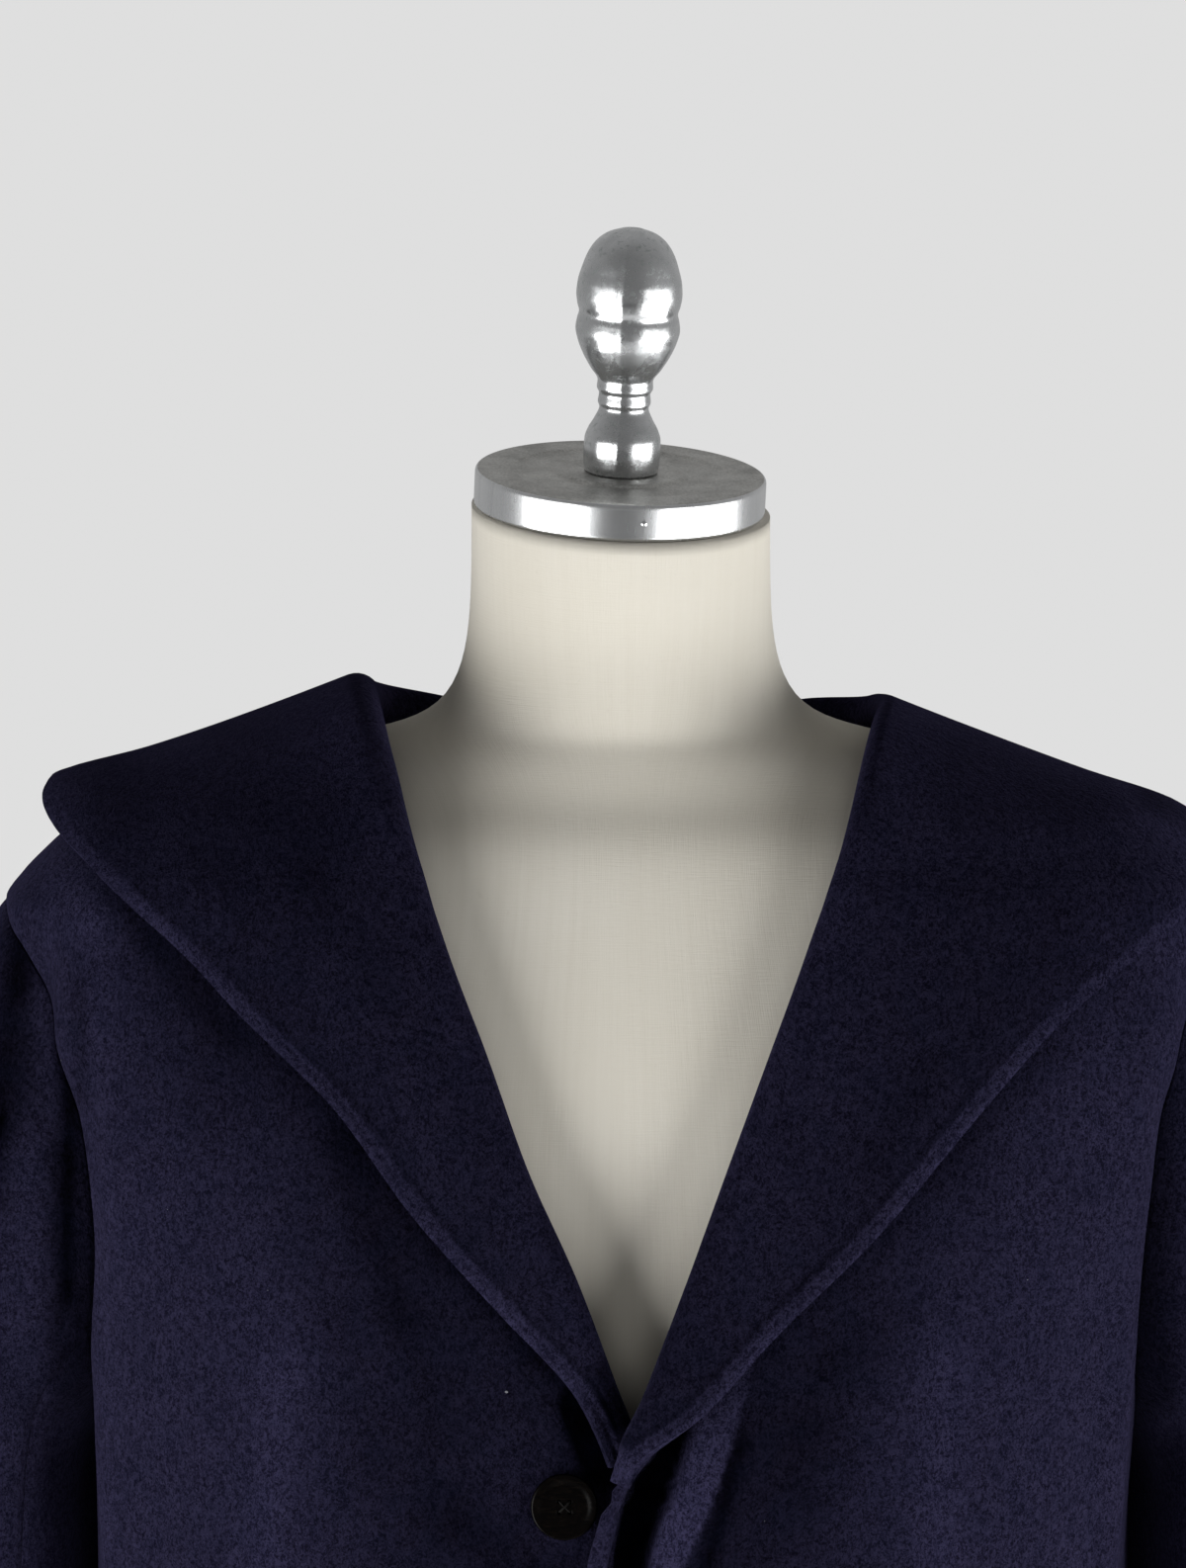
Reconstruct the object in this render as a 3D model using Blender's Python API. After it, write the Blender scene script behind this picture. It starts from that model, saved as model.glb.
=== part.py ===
"""A wool overcoat with a wide shawl collar, on a limbless dress form with a stand.

Metres, +Z up. The base stands on the floor at z = 0 with its pole on the Z axis. The form faces -Y, so the
wearer's left is at +X. The coat's body is one surface lofted from level sections, and each panel is a patch of it
between the closing edge, the roll line, the armhole and the side, shoulder and centre back seams. The collar lies
over the same surface, moved out.
"""

import math
from collections import namedtuple

import bmesh
import bpy
import numpy as np
from mathutils import Matrix, Vector

# --- Driving dimensions ---------------------------------------------------------------------------------------
CLOTH = 0.0030  # double-faced coating
COLLAR_CLOTH = 0.0042  # collar and facing sewn together and turned
SEAM = 0.0003  # gap between two pieces that are sewn to each other
CURVED_SEAM = 0.0005  # the same gap along the curved armholes, roll lines and neck line

HEM_Z = 0.420
SHOULDER_TIP_Z = 1.335
SHOULDER_END = 0.236  # half width at which the straight shoulder slope ends
SHOULDER_END_Z = 1.366
SHOULDER_SLOPE = 0.385  # height lost for each metre outwards, about 21 degrees
ARMPIT_Z = 1.100
ARMHOLE_FRONT = 0.080  # depth of the armhole in front of the side line
ARMHOLE_BACK = 0.088

BUTTON_RADIUS = 0.0140
BUTTON_THICK = 0.0042
BUTTON_X = -0.0237
BUTTON_TOP_Z = 1.102
BUTTON_SPACING = 0.125
BUTTONS = 3

NECK_RADIUS = 0.0638
FORM_REST = 0.0006  # gap between the form's shoulder and the cloth that rests on it
CAP_RADIUS = 0.0622
CAP_HEIGHT = 0.0160
CAP_TOP_Z = 1.519
CAP_Y = -0.012
CAP_TILT = math.radians(9)  # the neck's top leans forwards
CAP_LEAN = math.radians(2.6)  # and a little to the wearer's left

FORM_BOTTOM_Z = 0.780
POLE_RADIUS = 0.0130
BASE_RADIUS = 0.210
BASE_TOP_Z = 0.034

# --- Tables ---------------------------------------------------------------------------------------------------
# A section of the coat's outer face at one height: half width, depth in front of and behind the side line, and
# the exponent of the superellipse (2 is an ellipse, more is squarer).
Section = namedtuple("Section", "z half_width front back squareness")


def slope_width(z):
    """Half width of the straight shoulder slope at height z."""
    return SHOULDER_END - (z - SHOULDER_END_Z) / SHOULDER_SLOPE


BODY = (
    Section(HEM_Z, 0.2520, 0.184, 0.180, 2.40),
    Section(0.600, 0.2460, 0.177, 0.173, 2.45),
    Section(0.800, 0.2370, 0.169, 0.163, 2.60),
    Section(0.950, 0.2295, 0.161, 0.153, 2.80),
    Section(1.060, 0.2255, 0.154, 0.146, 3.00),
    Section(1.120, 0.2260, 0.151, 0.141, 3.10),
    Section(1.170, 0.2295, 0.148, 0.139, 3.10),
    Section(1.200, 0.2338, 0.146, 0.138, 3.10),
    Section(1.224, 0.2390, 0.143, 0.137, 3.05),
    Section(1.248, 0.2445, 0.139, 0.135, 2.95),
    Section(1.276, 0.2525, 0.133, 0.133, 2.80),
    Section(1.302, 0.2580, 0.127, 0.130, 2.60),
    Section(1.320, 0.2615, 0.122, 0.127, 2.45),
    Section(SHOULDER_TIP_Z, 0.2650, 0.117, 0.124, 2.35),
    Section(1.345, 0.2585, 0.114, 0.121, 2.30),
    Section(1.355, 0.2490, 0.110, 0.118, 2.20),
    Section(SHOULDER_END_Z, SHOULDER_END, 0.106, 0.114, 2.10),
    Section(1.380, slope_width(1.380), 0.101, 0.108, 2.00),
    Section(1.395, slope_width(1.395), 0.0935, 0.100, 1.95),
    Section(1.410, slope_width(1.410), 0.087, 0.091, 1.90),
    Section(1.428, slope_width(1.428), 0.080, 0.082, 1.90),
    Section(1.457, slope_width(1.457), 0.070, 0.070, 1.90),
)

# Where the fronts close, below the lapels: how far each one reaches past the centre. The left is on top.
Closing = namedtuple("Closing", "z left right")
CLOSING = (
    Closing(HEM_Z, 0.0040, 0.0030),
    Closing(0.700, 0.0060, -0.0010),
    Closing(0.950, 0.0065, -0.0030),
    Closing(0.985, 0.0075, -0.0045),
    Closing(1.020, 0.0118, -0.0085),
    Closing(1.046, 0.0128, -0.0093),
    Closing(1.065, 0.0100, -0.0065),
    Closing(1.085, 0.0070, -0.0035),
    Closing(1.098, 0.0045, -0.0010),
)

# The hollow beside the left front's closing edge, and the fold beyond it. From start the cloth dips to its
# depth, and from foot it climbs to the crest, which stands out by height.
Hollow = namedtuple("Hollow", "z start foot crest depth height")
HOLLOW = (
    Hollow(0.880, 0.0020, 0.0150, 0.0270, 0.0000, 0.0000),
    Hollow(0.960, -0.0005, 0.0125, 0.0245, 0.0045, 0.0010),
    Hollow(1.010, -0.0045, 0.0105, 0.0225, 0.0100, 0.0020),
    Hollow(1.046, -0.0053, 0.0105, 0.0245, 0.0130, 0.0030),
    Hollow(1.085, 0.0005, 0.0165, 0.0375, 0.0130, 0.0030),
    Hollow(1.115, 0.0040, 0.0210, 0.0475, 0.0110, 0.0025),
    Hollow(1.135, 0.0130, 0.0270, 0.0535, 0.0050, 0.0010),
    Hollow(1.155, 0.0200, 0.0320, 0.0590, 0.0000, 0.0000),
)

# Each half of the collar, from the foot of the lapel (station 0) to the shoulder (1) and the centre back (2).
# x is measured from the centre. A drop is the height below the shoulder's ridge at that x, minus in front and
# plus behind. lift is the height of the roll above the coat, and edge_lift that of the outer edge.
Collar = namedtuple("Collar", "station roll_x roll_drop edge_x edge_drop lift edge_lift")
LEFT_COLLAR = (
    Collar(0.00, -0.0045, -0.3450, 0.0030, -0.3455, 0.0080, 0.0065),
    Collar(0.06, 0.0015, -0.3320, 0.0095, -0.3320, 0.0085, 0.0065),
    Collar(0.15, 0.0143, -0.3050, 0.0285, -0.3050, 0.0090, 0.0065),
    Collar(0.30, 0.0319, -0.2550, 0.0662, -0.2550, 0.0100, 0.0070),
    Collar(0.45, 0.0493, -0.2020, 0.1053, -0.2020, 0.0105, 0.0070),
    Collar(0.60, 0.0664, -0.1500, 0.1391, -0.1500, 0.0105, 0.0070),
    Collar(0.75, 0.0836, -0.0980, 0.1749, -0.0980, 0.0105, 0.0070),
    Collar(0.87, 0.0986, -0.0500, 0.2158, -0.0500, 0.0105, 0.0070),
    Collar(0.95, 0.1065, -0.0170, 0.2430, -0.0180, 0.0085, 0.0080),
    Collar(1.00, 0.1150, 0.0000, 0.2510, 0.0010, 0.0080, 0.0095),
    Collar(1.15, 0.1100, 0.0080, 0.2360, 0.0450, 0.0110, 0.0095),
    Collar(1.40, 0.0810, 0.0255, 0.1820, 0.0920, 0.0130, 0.0080),
    Collar(1.70, 0.0405, 0.0473, 0.0960, 0.1420, 0.0130, 0.0075),
    Collar(2.00, 0.0000, 0.0650, 0.0000, 0.1780, 0.0130, 0.0075),
)
RIGHT_COLLAR = (
    Collar(0.00, -0.0020, -0.3360, 0.0050, -0.3365, 0.0070, 0.0060),
    Collar(0.06, 0.0012, -0.3250, 0.0090, -0.3250, 0.0070, 0.0060),
    Collar(0.15, 0.0102, -0.3050, 0.0172, -0.3050, 0.0080, 0.0065),
    Collar(0.30, 0.0263, -0.2550, 0.0503, -0.2550, 0.0100, 0.0075),
    Collar(0.45, 0.0459, -0.2020, 0.0857, -0.2020, 0.0120, 0.0085),
    Collar(0.60, 0.0632, -0.1500, 0.1159, -0.1500, 0.0135, 0.0095),
    Collar(0.75, 0.0815, -0.0980, 0.1549, -0.0980, 0.0150, 0.0110),
    Collar(0.87, 0.0956, -0.0500, 0.1914, -0.0500, 0.0160, 0.0130),
    Collar(0.95, 0.1045, -0.0170, 0.2209, -0.0172, 0.0170, 0.0150),
    Collar(1.00, 0.1115, 0.0000, 0.2355, 0.0010, 0.0170, 0.0165),
    Collar(1.15, 0.1080, 0.0080, 0.2260, 0.0450, 0.0170, 0.0110),
    Collar(1.40, 0.0800, 0.0255, 0.1780, 0.0920, 0.0145, 0.0085),
    Collar(1.70, 0.0400, 0.0473, 0.0950, 0.1420, 0.0132, 0.0075),
    Collar(2.00, 0.0000, 0.0650, 0.0000, 0.1780, 0.0130, 0.0075),
)

# Soft creases of the fronts: a line from (top_x, top_z) to (low_x, low_z) with a ridge (plus) or trough (minus)
# of this width and height. side is +1 for the left front, -1 for the right one.
Crease = namedtuple("Crease", "side top_x top_z low_x low_z width height")
CREASES = (
    Crease(+1, 0.213, 1.300, 0.211, 0.960, 0.018, +0.0030),
    Crease(-1, 0.213, 1.300, 0.211, 0.960, 0.018, +0.0030),
    Crease(+1, 0.231, 1.290, 0.224, 1.140, 0.014, -0.0040),
    Crease(-1, 0.231, 1.290, 0.224, 1.140, 0.014, -0.0040),
    Crease(-1, 0.115, 1.080, 0.150, 0.500, 0.062, -0.0055),
    Crease(+1, 0.125, 1.060, 0.160, 0.500, 0.062, -0.0050),
)

# Flutes of the skirt, the same on both sides, deepest at the hem. bearing is 0 at the front and 180 behind.
Flute = namedtuple("Flute", "bearing top_z width height")
FLUTES = (
    Flute(34, 0.90, 15, +0.0070),
    Flute(52, 0.95, 14, -0.0070),
    Flute(72, 1.00, 15, +0.0090),
    Flute(97, 1.00, 16, -0.0090),
    Flute(120, 1.02, 17, +0.0110),
    Flute(145, 1.00, 16, -0.0090),
    Flute(167, 1.02, 14, +0.0070),
)

# The sleeve's outline down the arm: its upper and its lower line seen from the front, and the centre and half
# depth from front to back.
Sleeve = namedtuple("Sleeve", "over_x over_z under_x under_z centre_y depth")
SLEEVE = (
    Sleeve(0.2650, 1.335, 0.2257, 1.100, 0.0040, 0.0840),
    Sleeve(0.2795, 1.312, 0.2290, 1.092, 0.0035, 0.0850),
    Sleeve(0.2930, 1.285, 0.2304, 1.083, 0.0030, 0.0850),
    Sleeve(0.3060, 1.250, 0.2308, 1.070, 0.0020, 0.0840),
    Sleeve(0.3170, 1.205, 0.2312, 1.050, 0.0010, 0.0825),
    Sleeve(0.3255, 1.150, 0.2316, 1.022, 0.0005, 0.0805),
    Sleeve(0.3310, 1.085, 0.2320, 0.985, 0.0000, 0.0780),
    Sleeve(0.3350, 1.015, 0.2345, 0.945, -0.0010, 0.0750),
    Sleeve(0.3375, 0.940, 0.2375, 0.900, -0.0030, 0.0715),
    Sleeve(0.3395, 0.865, 0.2420, 0.845, -0.0070, 0.0680),
    Sleeve(0.3410, 0.790, 0.2470, 0.782, -0.0120, 0.0640),
    Sleeve(0.3420, 0.716, 0.2520, 0.714, -0.0170, 0.0600),
)
# Dents of the sleeve at its elbow and armpit: turn round the tube, height, and the size of the dent.
Dent = namedtuple("Dent", "turn z turn_width z_width height")
DENTS = (
    Dent(95, 0.985, 80, 0.034, -0.0050),
    Dent(75, 0.935, 80, 0.032, +0.0040),
    Dent(105, 0.888, 80, 0.032, -0.0050),
    Dent(150, 1.105, 60, 0.042, -0.0050),
    Dent(300, 1.010, 80, 0.045, -0.0045),
)

# Sections of the dress form up to the shoulder's round end.
FORM_BODY = (
    Section(FORM_BOTTOM_Z, 0.158, 0.108, 0.118, 2.2),
    Section(0.830, 0.172, 0.115, 0.129, 2.3),
    Section(0.900, 0.177, 0.118, 0.134, 2.3),
    Section(0.960, 0.168, 0.112, 0.124, 2.3),
    Section(1.020, 0.154, 0.106, 0.106, 2.3),
    Section(1.070, 0.153, 0.108, 0.100, 2.3),
    Section(1.130, 0.162, 0.116, 0.103, 2.4),
    Section(1.200, 0.178, 0.124, 0.110, 2.5),
    Section(1.250, 0.191, 0.124, 0.116, 2.5),
    Section(1.290, 0.203, 0.118, 0.116, 2.5),
    Section(1.320, 0.212, 0.110, 0.113, 2.4),
    Section(1.342, 0.2155, 0.1035, 0.108, 2.3),
    Section(1.358, 0.2120, 0.098, 0.103, 2.2),
    Section(1.370, 0.2040, 0.0935, 0.099, 2.1),
)
# The form's shoulder lies under the coat's, and drops away from it by this much near the neck.
Shoulder = namedtuple("Shoulder", "drop half_width front back squareness")
FORM_SHOULDER = (
    Shoulder(0.0000, 0.190, 0.0850, 0.091, 1.85),
    Shoulder(0.0000, 0.160, 0.0790, 0.084, 1.80),
    Shoulder(0.0000, 0.132, 0.0745, 0.078, 1.80),
    Shoulder(0.0040, 0.110, 0.0720, 0.075, 1.85),
    Shoulder(0.0080, 0.092, 0.0705, 0.072, 1.95),
    Shoulder(0.0100, 0.080, 0.0695, 0.070, 2.00),
)
# The neck's rings lean forwards and to one side, as its cap does.
Neck = namedtuple("Neck", "z radius centre_y tilt lean")
FORM_NECK = (
    Neck(1.4260, 0.0705, -0.0015, 1.0, 0.0),
    Neck(1.4360, 0.0668, -0.0030, 2.5, 0.4),
    Neck(1.4520, 0.0646, -0.0050, 5.0, 1.0),
    Neck(1.4750, NECK_RADIUS, -0.0080, 8.0, 2.0),
    Neck(CAP_TOP_Z - (CAP_HEIGHT + SEAM), NECK_RADIUS, CAP_Y + 0.0025, 9.0, 2.6),
)

# Turned profiles: radius and height above the part's own foot.
Turned = namedtuple("Turned", "radius height")
KNOB = (
    Turned(0.0150, 0.0000),
    Turned(0.0162, 0.0060),
    Turned(0.0162, 0.0125),
    Turned(0.0152, 0.0170),
    Turned(0.0123, 0.0228),
    Turned(0.0105, 0.0275),
    Turned(0.0113, 0.0300),
    Turned(0.0109, 0.0335),
    Turned(0.0120, 0.0362),
    Turned(0.0118, 0.0390),
    Turned(0.0153, 0.0448),
    Turned(0.0186, 0.0505),
    Turned(0.0211, 0.0565),
    Turned(0.0222, 0.0615),
    Turned(0.0217, 0.0655),
    Turned(0.0210, 0.0685),
    Turned(0.0219, 0.0720),
    Turned(0.0225, 0.0765),
    Turned(0.0221, 0.0815),
    Turned(0.0207, 0.0870),
    Turned(0.0186, 0.0930),
    Turned(0.0152, 0.0985),
    Turned(0.0105, 0.1022),
    Turned(0.0050, 0.1042),
)
CAP = (
    Turned(CAP_RADIUS - 0.0010, 0.0000),
    Turned(CAP_RADIUS, 0.0010),
    Turned(CAP_RADIUS, CAP_HEIGHT - 0.0012),
    Turned(CAP_RADIUS - 0.0012, CAP_HEIGHT),
    Turned(0.0460, CAP_HEIGHT),
    Turned(0.0445, CAP_HEIGHT - 0.0008),
    Turned(0.0285, CAP_HEIGHT - 0.0008),
    Turned(0.0270, CAP_HEIGHT + 0.0004),
)
BUTTON = (
    Turned(0.0024, 0.0004),
    Turned(0.0024, 0.0020),
    Turned(BUTTON_RADIUS - 0.0035, 0.0022),
    Turned(BUTTON_RADIUS - 0.0006, 0.0034),
    Turned(BUTTON_RADIUS, 0.0046),
    Turned(BUTTON_RADIUS - 0.0006, 0.0020 + BUTTON_THICK),
    Turned(BUTTON_RADIUS - 0.0022, 0.0018 + BUTTON_THICK),
    Turned(BUTTON_RADIUS - 0.0050, 0.0010 + BUTTON_THICK),
    Turned(0.0010, 0.0008 + BUTTON_THICK),
)
HOLE_RADIUS = 0.0010
HOLE_PITCH = 0.0022
HOLE_FOOT = 0.0032  # the holes stop above the shank
HOLE_TOP = 0.0112
BASE = (
    Turned(BASE_RADIUS - 0.004, 0.000),
    Turned(BASE_RADIUS, 0.004),
    Turned(BASE_RADIUS, 0.012),
    Turned(BASE_RADIUS - 0.006, 0.0165),
    Turned(0.120, 0.0205),
    Turned(0.060, 0.0245),
    Turned(0.032, 0.0300),
    Turned(0.024, BASE_TOP_Z),
)

# How the surfaces are cut into faces. The armhole is stepped the same way on the panels and on the sleeve.
SKIRT_ROWS = 12
ARMHOLE_STEP = 15  # degrees
ROLL_STATIONS = (0, 0.05, 0.12, 0.22, 0.33, 0.45, 0.57, 0.69, 0.79, 0.88, 0.95, 0.98, 1)
NECK_STATIONS = (2, 1.86, 1.72, 1.58, 1.44, 1.30, 1.16, 1.06, 1)
CLOSING_COLUMNS = (0, 0.012, 0.024, 0.036, 0.05, 0.066, 0.09, 0.14)  # close together beside the closing edge
FRONT_COLUMNS = CLOSING_COLUMNS + (0.24, 0.36, 0.48, 0.6, 0.7, 0.79, 0.87, 0.94, 1)
BACK_COLUMNS = (0, 0.12, 0.24, 0.36, 0.48, 0.6, 0.7, 0.79, 0.87, 0.94, 1)
COLUMN_TURN_Z = 0.90  # from here up the columns turn in towards the armhole
FOLD_STEPS = 6
FALL_STEPS = 9
SLEEVE_RINGS = 17
SLEEVE_SEAMS = (120, 255)  # turns at which the top and under sleeves meet, in front and behind
FORM_STEPS = 28
TURNED_STEPS = 20


# --- Curves and small maths -----------------------------------------------------------------------------------
def smooth_curve(at, values, x):
    """A smooth curve through the points (at, values) that doesn't overshoot them, read at x."""
    at, values, x = (np.asarray(a, float) for a in (at, values, x))
    step = np.diff(at)
    slope = np.diff(values) / step
    gradient = np.concatenate([slope[:1], np.zeros(len(at) - 2), slope[-1:]])
    for k in range(1, len(at) - 1):
        if slope[k - 1] * slope[k] > 0:
            before, after = 2 * step[k] + step[k - 1], step[k] + 2 * step[k - 1]
            gradient[k] = (before + after) / (before / slope[k - 1] + after / slope[k])
    k = np.clip(np.searchsorted(at, x) - 1, 0, len(step) - 1)
    t = np.clip((x - at[k]) / step[k], 0, 1)
    rise = values[k] + (3 - 2 * t) * t * t * (values[k + 1] - values[k])
    bend = t * (1 - t) * ((1 - t) * gradient[k] - t * gradient[k + 1])
    return rise + bend * step[k]


def column(table, name, key, x):
    """Column name of a table, read smoothly at x of its key column."""
    return smooth_curve([getattr(r, key) for r in table], [getattr(r, name) for r in table], x)


def ease(x):
    """0 below 0, 1 above 1 and smooth between."""
    x = np.clip(x, 0, 1)
    return x * x * (3 - 2 * x)


def bump(x):
    """A round bump of height 1 that reaches 0 at x = -1 and 1."""
    return np.clip(1 - x * x, 0, None) ** 2


def unit(v):
    return v / np.linalg.norm(v, axis=-1, keepdims=True)


# --- Folds of the body, as heights above its plain surface -----------------------------------------------------
def lap(side, x, z):
    """How far the left front stands out where it crosses the right one, most at the foot of the lapels."""
    if side < 0:
        return 0.0 * x
    near = ease((0.075 - x) / 0.070)
    return near * (0.0044 * ease((1.22 - z) / 0.12) + 0.0095 * bump((z - 1.118) / 0.055))


def hollow(side, x, z):
    """The dip beside the left closing edge and the fold that runs down from the lapel beyond it."""
    if side < 0 or z < HOLLOW[0].z or z > HOLLOW[-1].z:
        return 0.0 * x
    start, foot, crest, depth, height = (column(HOLLOW, n, "z", z) for n in Hollow._fields[1:])
    dip = -depth * ease((x - start) / (0.55 * (foot - start)))
    climb = (depth + height) * np.clip((x - foot) / (crest - foot), 0, 1)
    return dip + climb - height * ease((x - crest) / 0.040)


def creases(side, x, z):
    """Height of the soft creases of a front."""
    height = 0.0 * x
    for c in CREASES:
        if c.side == side and c.low_z < z < c.top_z:
            share = (c.top_z - z) / (c.top_z - c.low_z)
            fade = ease(share / 0.25) * ease((1 - share) / 0.45)
            height = height + c.height * fade * bump((x - c.top_x - share * (c.low_x - c.top_x)) / c.width)
    return height


def flutes(x, y, z):
    """Height of the skirt's flutes."""
    bearing = np.degrees(np.arctan2(x, -y))
    height = 0.0 * x
    for f in FLUTES:
        if z < f.top_z:
            fade = ease((f.top_z - z) / (f.top_z - HEM_Z))
            height = height + f.height * fade * bump((bearing - f.bearing) / f.width)
    return height


# --- The body's surface as a chart of turn and height ----------------------------------------------------------
# turn is 0 at the centre front, 1 at the side seam or shoulder ridge and 2 at the centre back.
CHART_Z = np.concatenate([np.arange(HEM_Z - 0.01, 1.0, 0.01), np.arange(1.0, 1.4441, 0.0025)])
TURN_STEP = 0.005
CHART_TURN = np.arange(-20, 421) * TURN_STEP


def section(side, z, folded):
    """The coat's outer face at height z: x and y at every turn of the chart."""
    half_width, front, back, square = (column(BODY, n, "z", z) for n in Section._fields[1:])
    quarter = np.radians(90) * (1 - np.cos(np.linspace(0, math.pi, 60))) / 2
    across = half_width * np.sin(quarter) ** (2 / square)
    deep = np.cos(quarter) ** (2 / square)
    x = np.concatenate([-across[:0:-1], across, across[-2::-1], -across[1:]])
    y = np.concatenate([-front * deep[:0:-1], -front * deep, back * deep[-2::-1], back * deep[1:]])
    outwards = unit(np.stack([np.gradient(y), -np.gradient(x)], 1))
    height = lap(side, x, z) * (y < 0)
    if folded:
        height = height + (hollow(side, x, z) + creases(side, x, z)) * (y < 0) + flutes(x, y, z)
    length = np.concatenate([[0], np.cumsum(np.hypot(np.diff(x), np.diff(y)))])
    x, y = x + outwards[:, 0] * height, y + outwards[:, 1] * height
    centre, edge, behind = length[59], length[118], length[177]
    turn = np.where(length < edge, (length - centre) / (edge - centre), 1 + (length - edge) / (behind - edge))
    return np.interp(CHART_TURN, turn, x), np.interp(CHART_TURN, turn, y)


def make_chart(side, folded):
    """The outer face's points and outward normals over the whole chart, heights by turns."""
    rows = [section(side, z, folded) for z in CHART_Z]
    x, y = (np.array(axis) for axis in zip(*rows))
    points = np.stack([side * x, y, 0 * x + CHART_Z[:, None]], 2)
    normals = side * np.cross(np.gradient(points, axis=1), np.gradient(points, CHART_Z, axis=0))
    return points, unit(normals)


def on_chart(chart, turn, z):
    """Points and outward normals at the given turns and heights."""
    turn, z = np.broadcast_arrays(np.asarray(turn, float), np.asarray(z, float))
    row = np.clip(np.interp(z, CHART_Z, np.arange(len(CHART_Z))), 0, len(CHART_Z) - 1.001)
    col = np.clip((turn - CHART_TURN[0]) / TURN_STEP, 0, len(CHART_TURN) - 1.001)
    r, c = row.astype(int), col.astype(int)
    down, across = (row - r)[..., None], (col - c)[..., None]
    points, normals = (
        (1 - down) * ((1 - across) * g[r, c] + across * g[r, c + 1])
        + down * ((1 - across) * g[r + 1, c] + across * g[r + 1, c + 1])
        for g in chart
    )
    return points, unit(normals)


def turn_at_x(side, z, x, back):
    """The turn at which the plain section at height z is x from the centre."""
    turns = np.linspace(1, 2.1, 221) if back else np.linspace(-0.1, 1, 221)
    at = side * on_chart(PLAIN[side], turns, z)[0][:, 0]
    return float(np.interp(-x, -at, turns) if back else np.interp(x, at, turns))


def turn_at_y(side, z, y):
    """The turn at which the plain section at height z is y behind the side line, or in front if y is minus."""
    turns = np.linspace(0.2, 1.8, 321)
    return float(np.interp(y, on_chart(PLAIN[side], turns, z)[0][:, 1], turns))


PLAIN = {side: make_chart(side, False) for side in (+1, -1)}
FOLDED = {side: make_chart(side, True) for side in (+1, -1)}
RIDGE_Z = np.linspace(SHOULDER_TIP_Z, BODY[-1].z, 200)
RIDGE_X = column(BODY, "half_width", "z", RIDGE_Z)


def ridge(x):
    """Height of the shoulder's ridge at x."""
    return np.interp(-np.asarray(x, float), -RIDGE_X, RIDGE_Z)


def over_shoulder(side, x, drop):
    """Turn and height of the point at x whose height is drop below the ridge, in front if drop is minus."""
    z = float(ridge(x)) - abs(drop)
    return turn_at_x(side, z, x, drop > 0), z


# --- Edges that the panels and the collar share ----------------------------------------------------------------
def collar_value(side, name, station):
    return column(LEFT_COLLAR if side > 0 else RIGHT_COLLAR, name, "station", station)


def smooth_drop(side, name, station):
    """A drop of the collar's table read by its signed square root, which is even across the ridge."""
    table = LEFT_COLLAR if side > 0 else RIGHT_COLLAR
    drops = np.array([getattr(r, name) for r in table])
    root = smooth_curve([r.station for r in table], np.sign(drops) * np.sqrt(np.abs(drops)), station)
    return float(np.sign(root) * root * root)


def roll_point(side, station, gap=0.0):
    """Turn and height of the roll line, moved out by a gap: sideways in front and more downwards behind."""
    down = gap * min(max(2 * (station - 1), 0), 1)
    x = float(collar_value(side, "roll_x", station)) + gap * (2 - station if station > 1 else 1)
    return over_shoulder(side, x, smooth_drop(side, "roll_drop", station) + down)


def armhole_point(side, degrees, gap=0.0):
    """Turn and height of the armhole's edge: 0 at the shoulder tip, 90 in front and 180 at the armpit."""
    angle = math.radians(degrees)
    middle, half = (SHOULDER_TIP_Z + ARMPIT_Z) / 2, (SHOULDER_TIP_Z - ARMPIT_Z) / 2 + gap
    depth = (ARMHOLE_FRONT if math.sin(angle) > 0 else ARMHOLE_BACK) + gap
    z = middle + half * math.cos(angle)
    return turn_at_y(side, z, -depth * math.sin(angle)), z


def seam_gap(side, z):
    """Half of a seam's gap as a part of a turn."""
    length = np.linalg.norm(np.diff(on_chart(PLAIN[side], np.linspace(0, 1, 41), z)[0], axis=0), axis=1).sum()
    return SEAM / 2 / length


def inner_edge(side, back, rows):
    """Turns and heights along the inner edge of a front or back, hem first."""
    _, top = roll_point(side, 1, CURVED_SEAM)
    last = (1 + (1 if back else -1) * seam_gap(side, top), top)
    if back:
        skirt = np.linspace(HEM_Z, ARMPIT_Z, rows + 1)
        _, neck = roll_point(side, 2, CURVED_SEAM)
        chest = np.linspace(ARMPIT_Z, neck, 180 // ARMHOLE_STEP - len(NECK_STATIONS) + 2)[1:]
        edge = [(2 - seam_gap(side, z), z) for z in np.concatenate([skirt, chest])]
        return edge + [roll_point(side, s, CURVED_SEAM) for s in NECK_STATIONS[1:-1]] + [last]
    _, foot = roll_point(side, 0, CURVED_SEAM)
    edge = []
    for z in np.linspace(HEM_Z, foot, rows + 1)[:-1]:
        reach = column(CLOSING, "left" if side > 0 else "right", "z", z)
        edge.append((turn_at_x(side, z, -reach, False), z))
    return edge + [roll_point(side, s, CURVED_SEAM) for s in ROLL_STATIONS[:-1]] + [last]


def outer_edge(side, back, rows):
    """Turns and heights along the side seam and the armhole, hem first."""
    sign = 1 if back else -1
    edge = [(1 + sign * seam_gap(side, z), z) for z in np.linspace(HEM_Z, ARMPIT_Z - SEAM, rows + 1)]
    for degrees in range(180 - ARMHOLE_STEP, 0, -ARMHOLE_STEP):
        edge.append(armhole_point(side, -degrees if back else degrees, CURVED_SEAM))
    tip = SHOULDER_TIP_Z + SEAM
    return edge + [(1 + sign * seam_gap(side, tip), tip)]


# --- Solids ---------------------------------------------------------------------------------------------------
def clear_scene():
    for thing in list(bpy.data.objects):
        bpy.data.objects.remove(thing, do_unlink=True)


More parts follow.
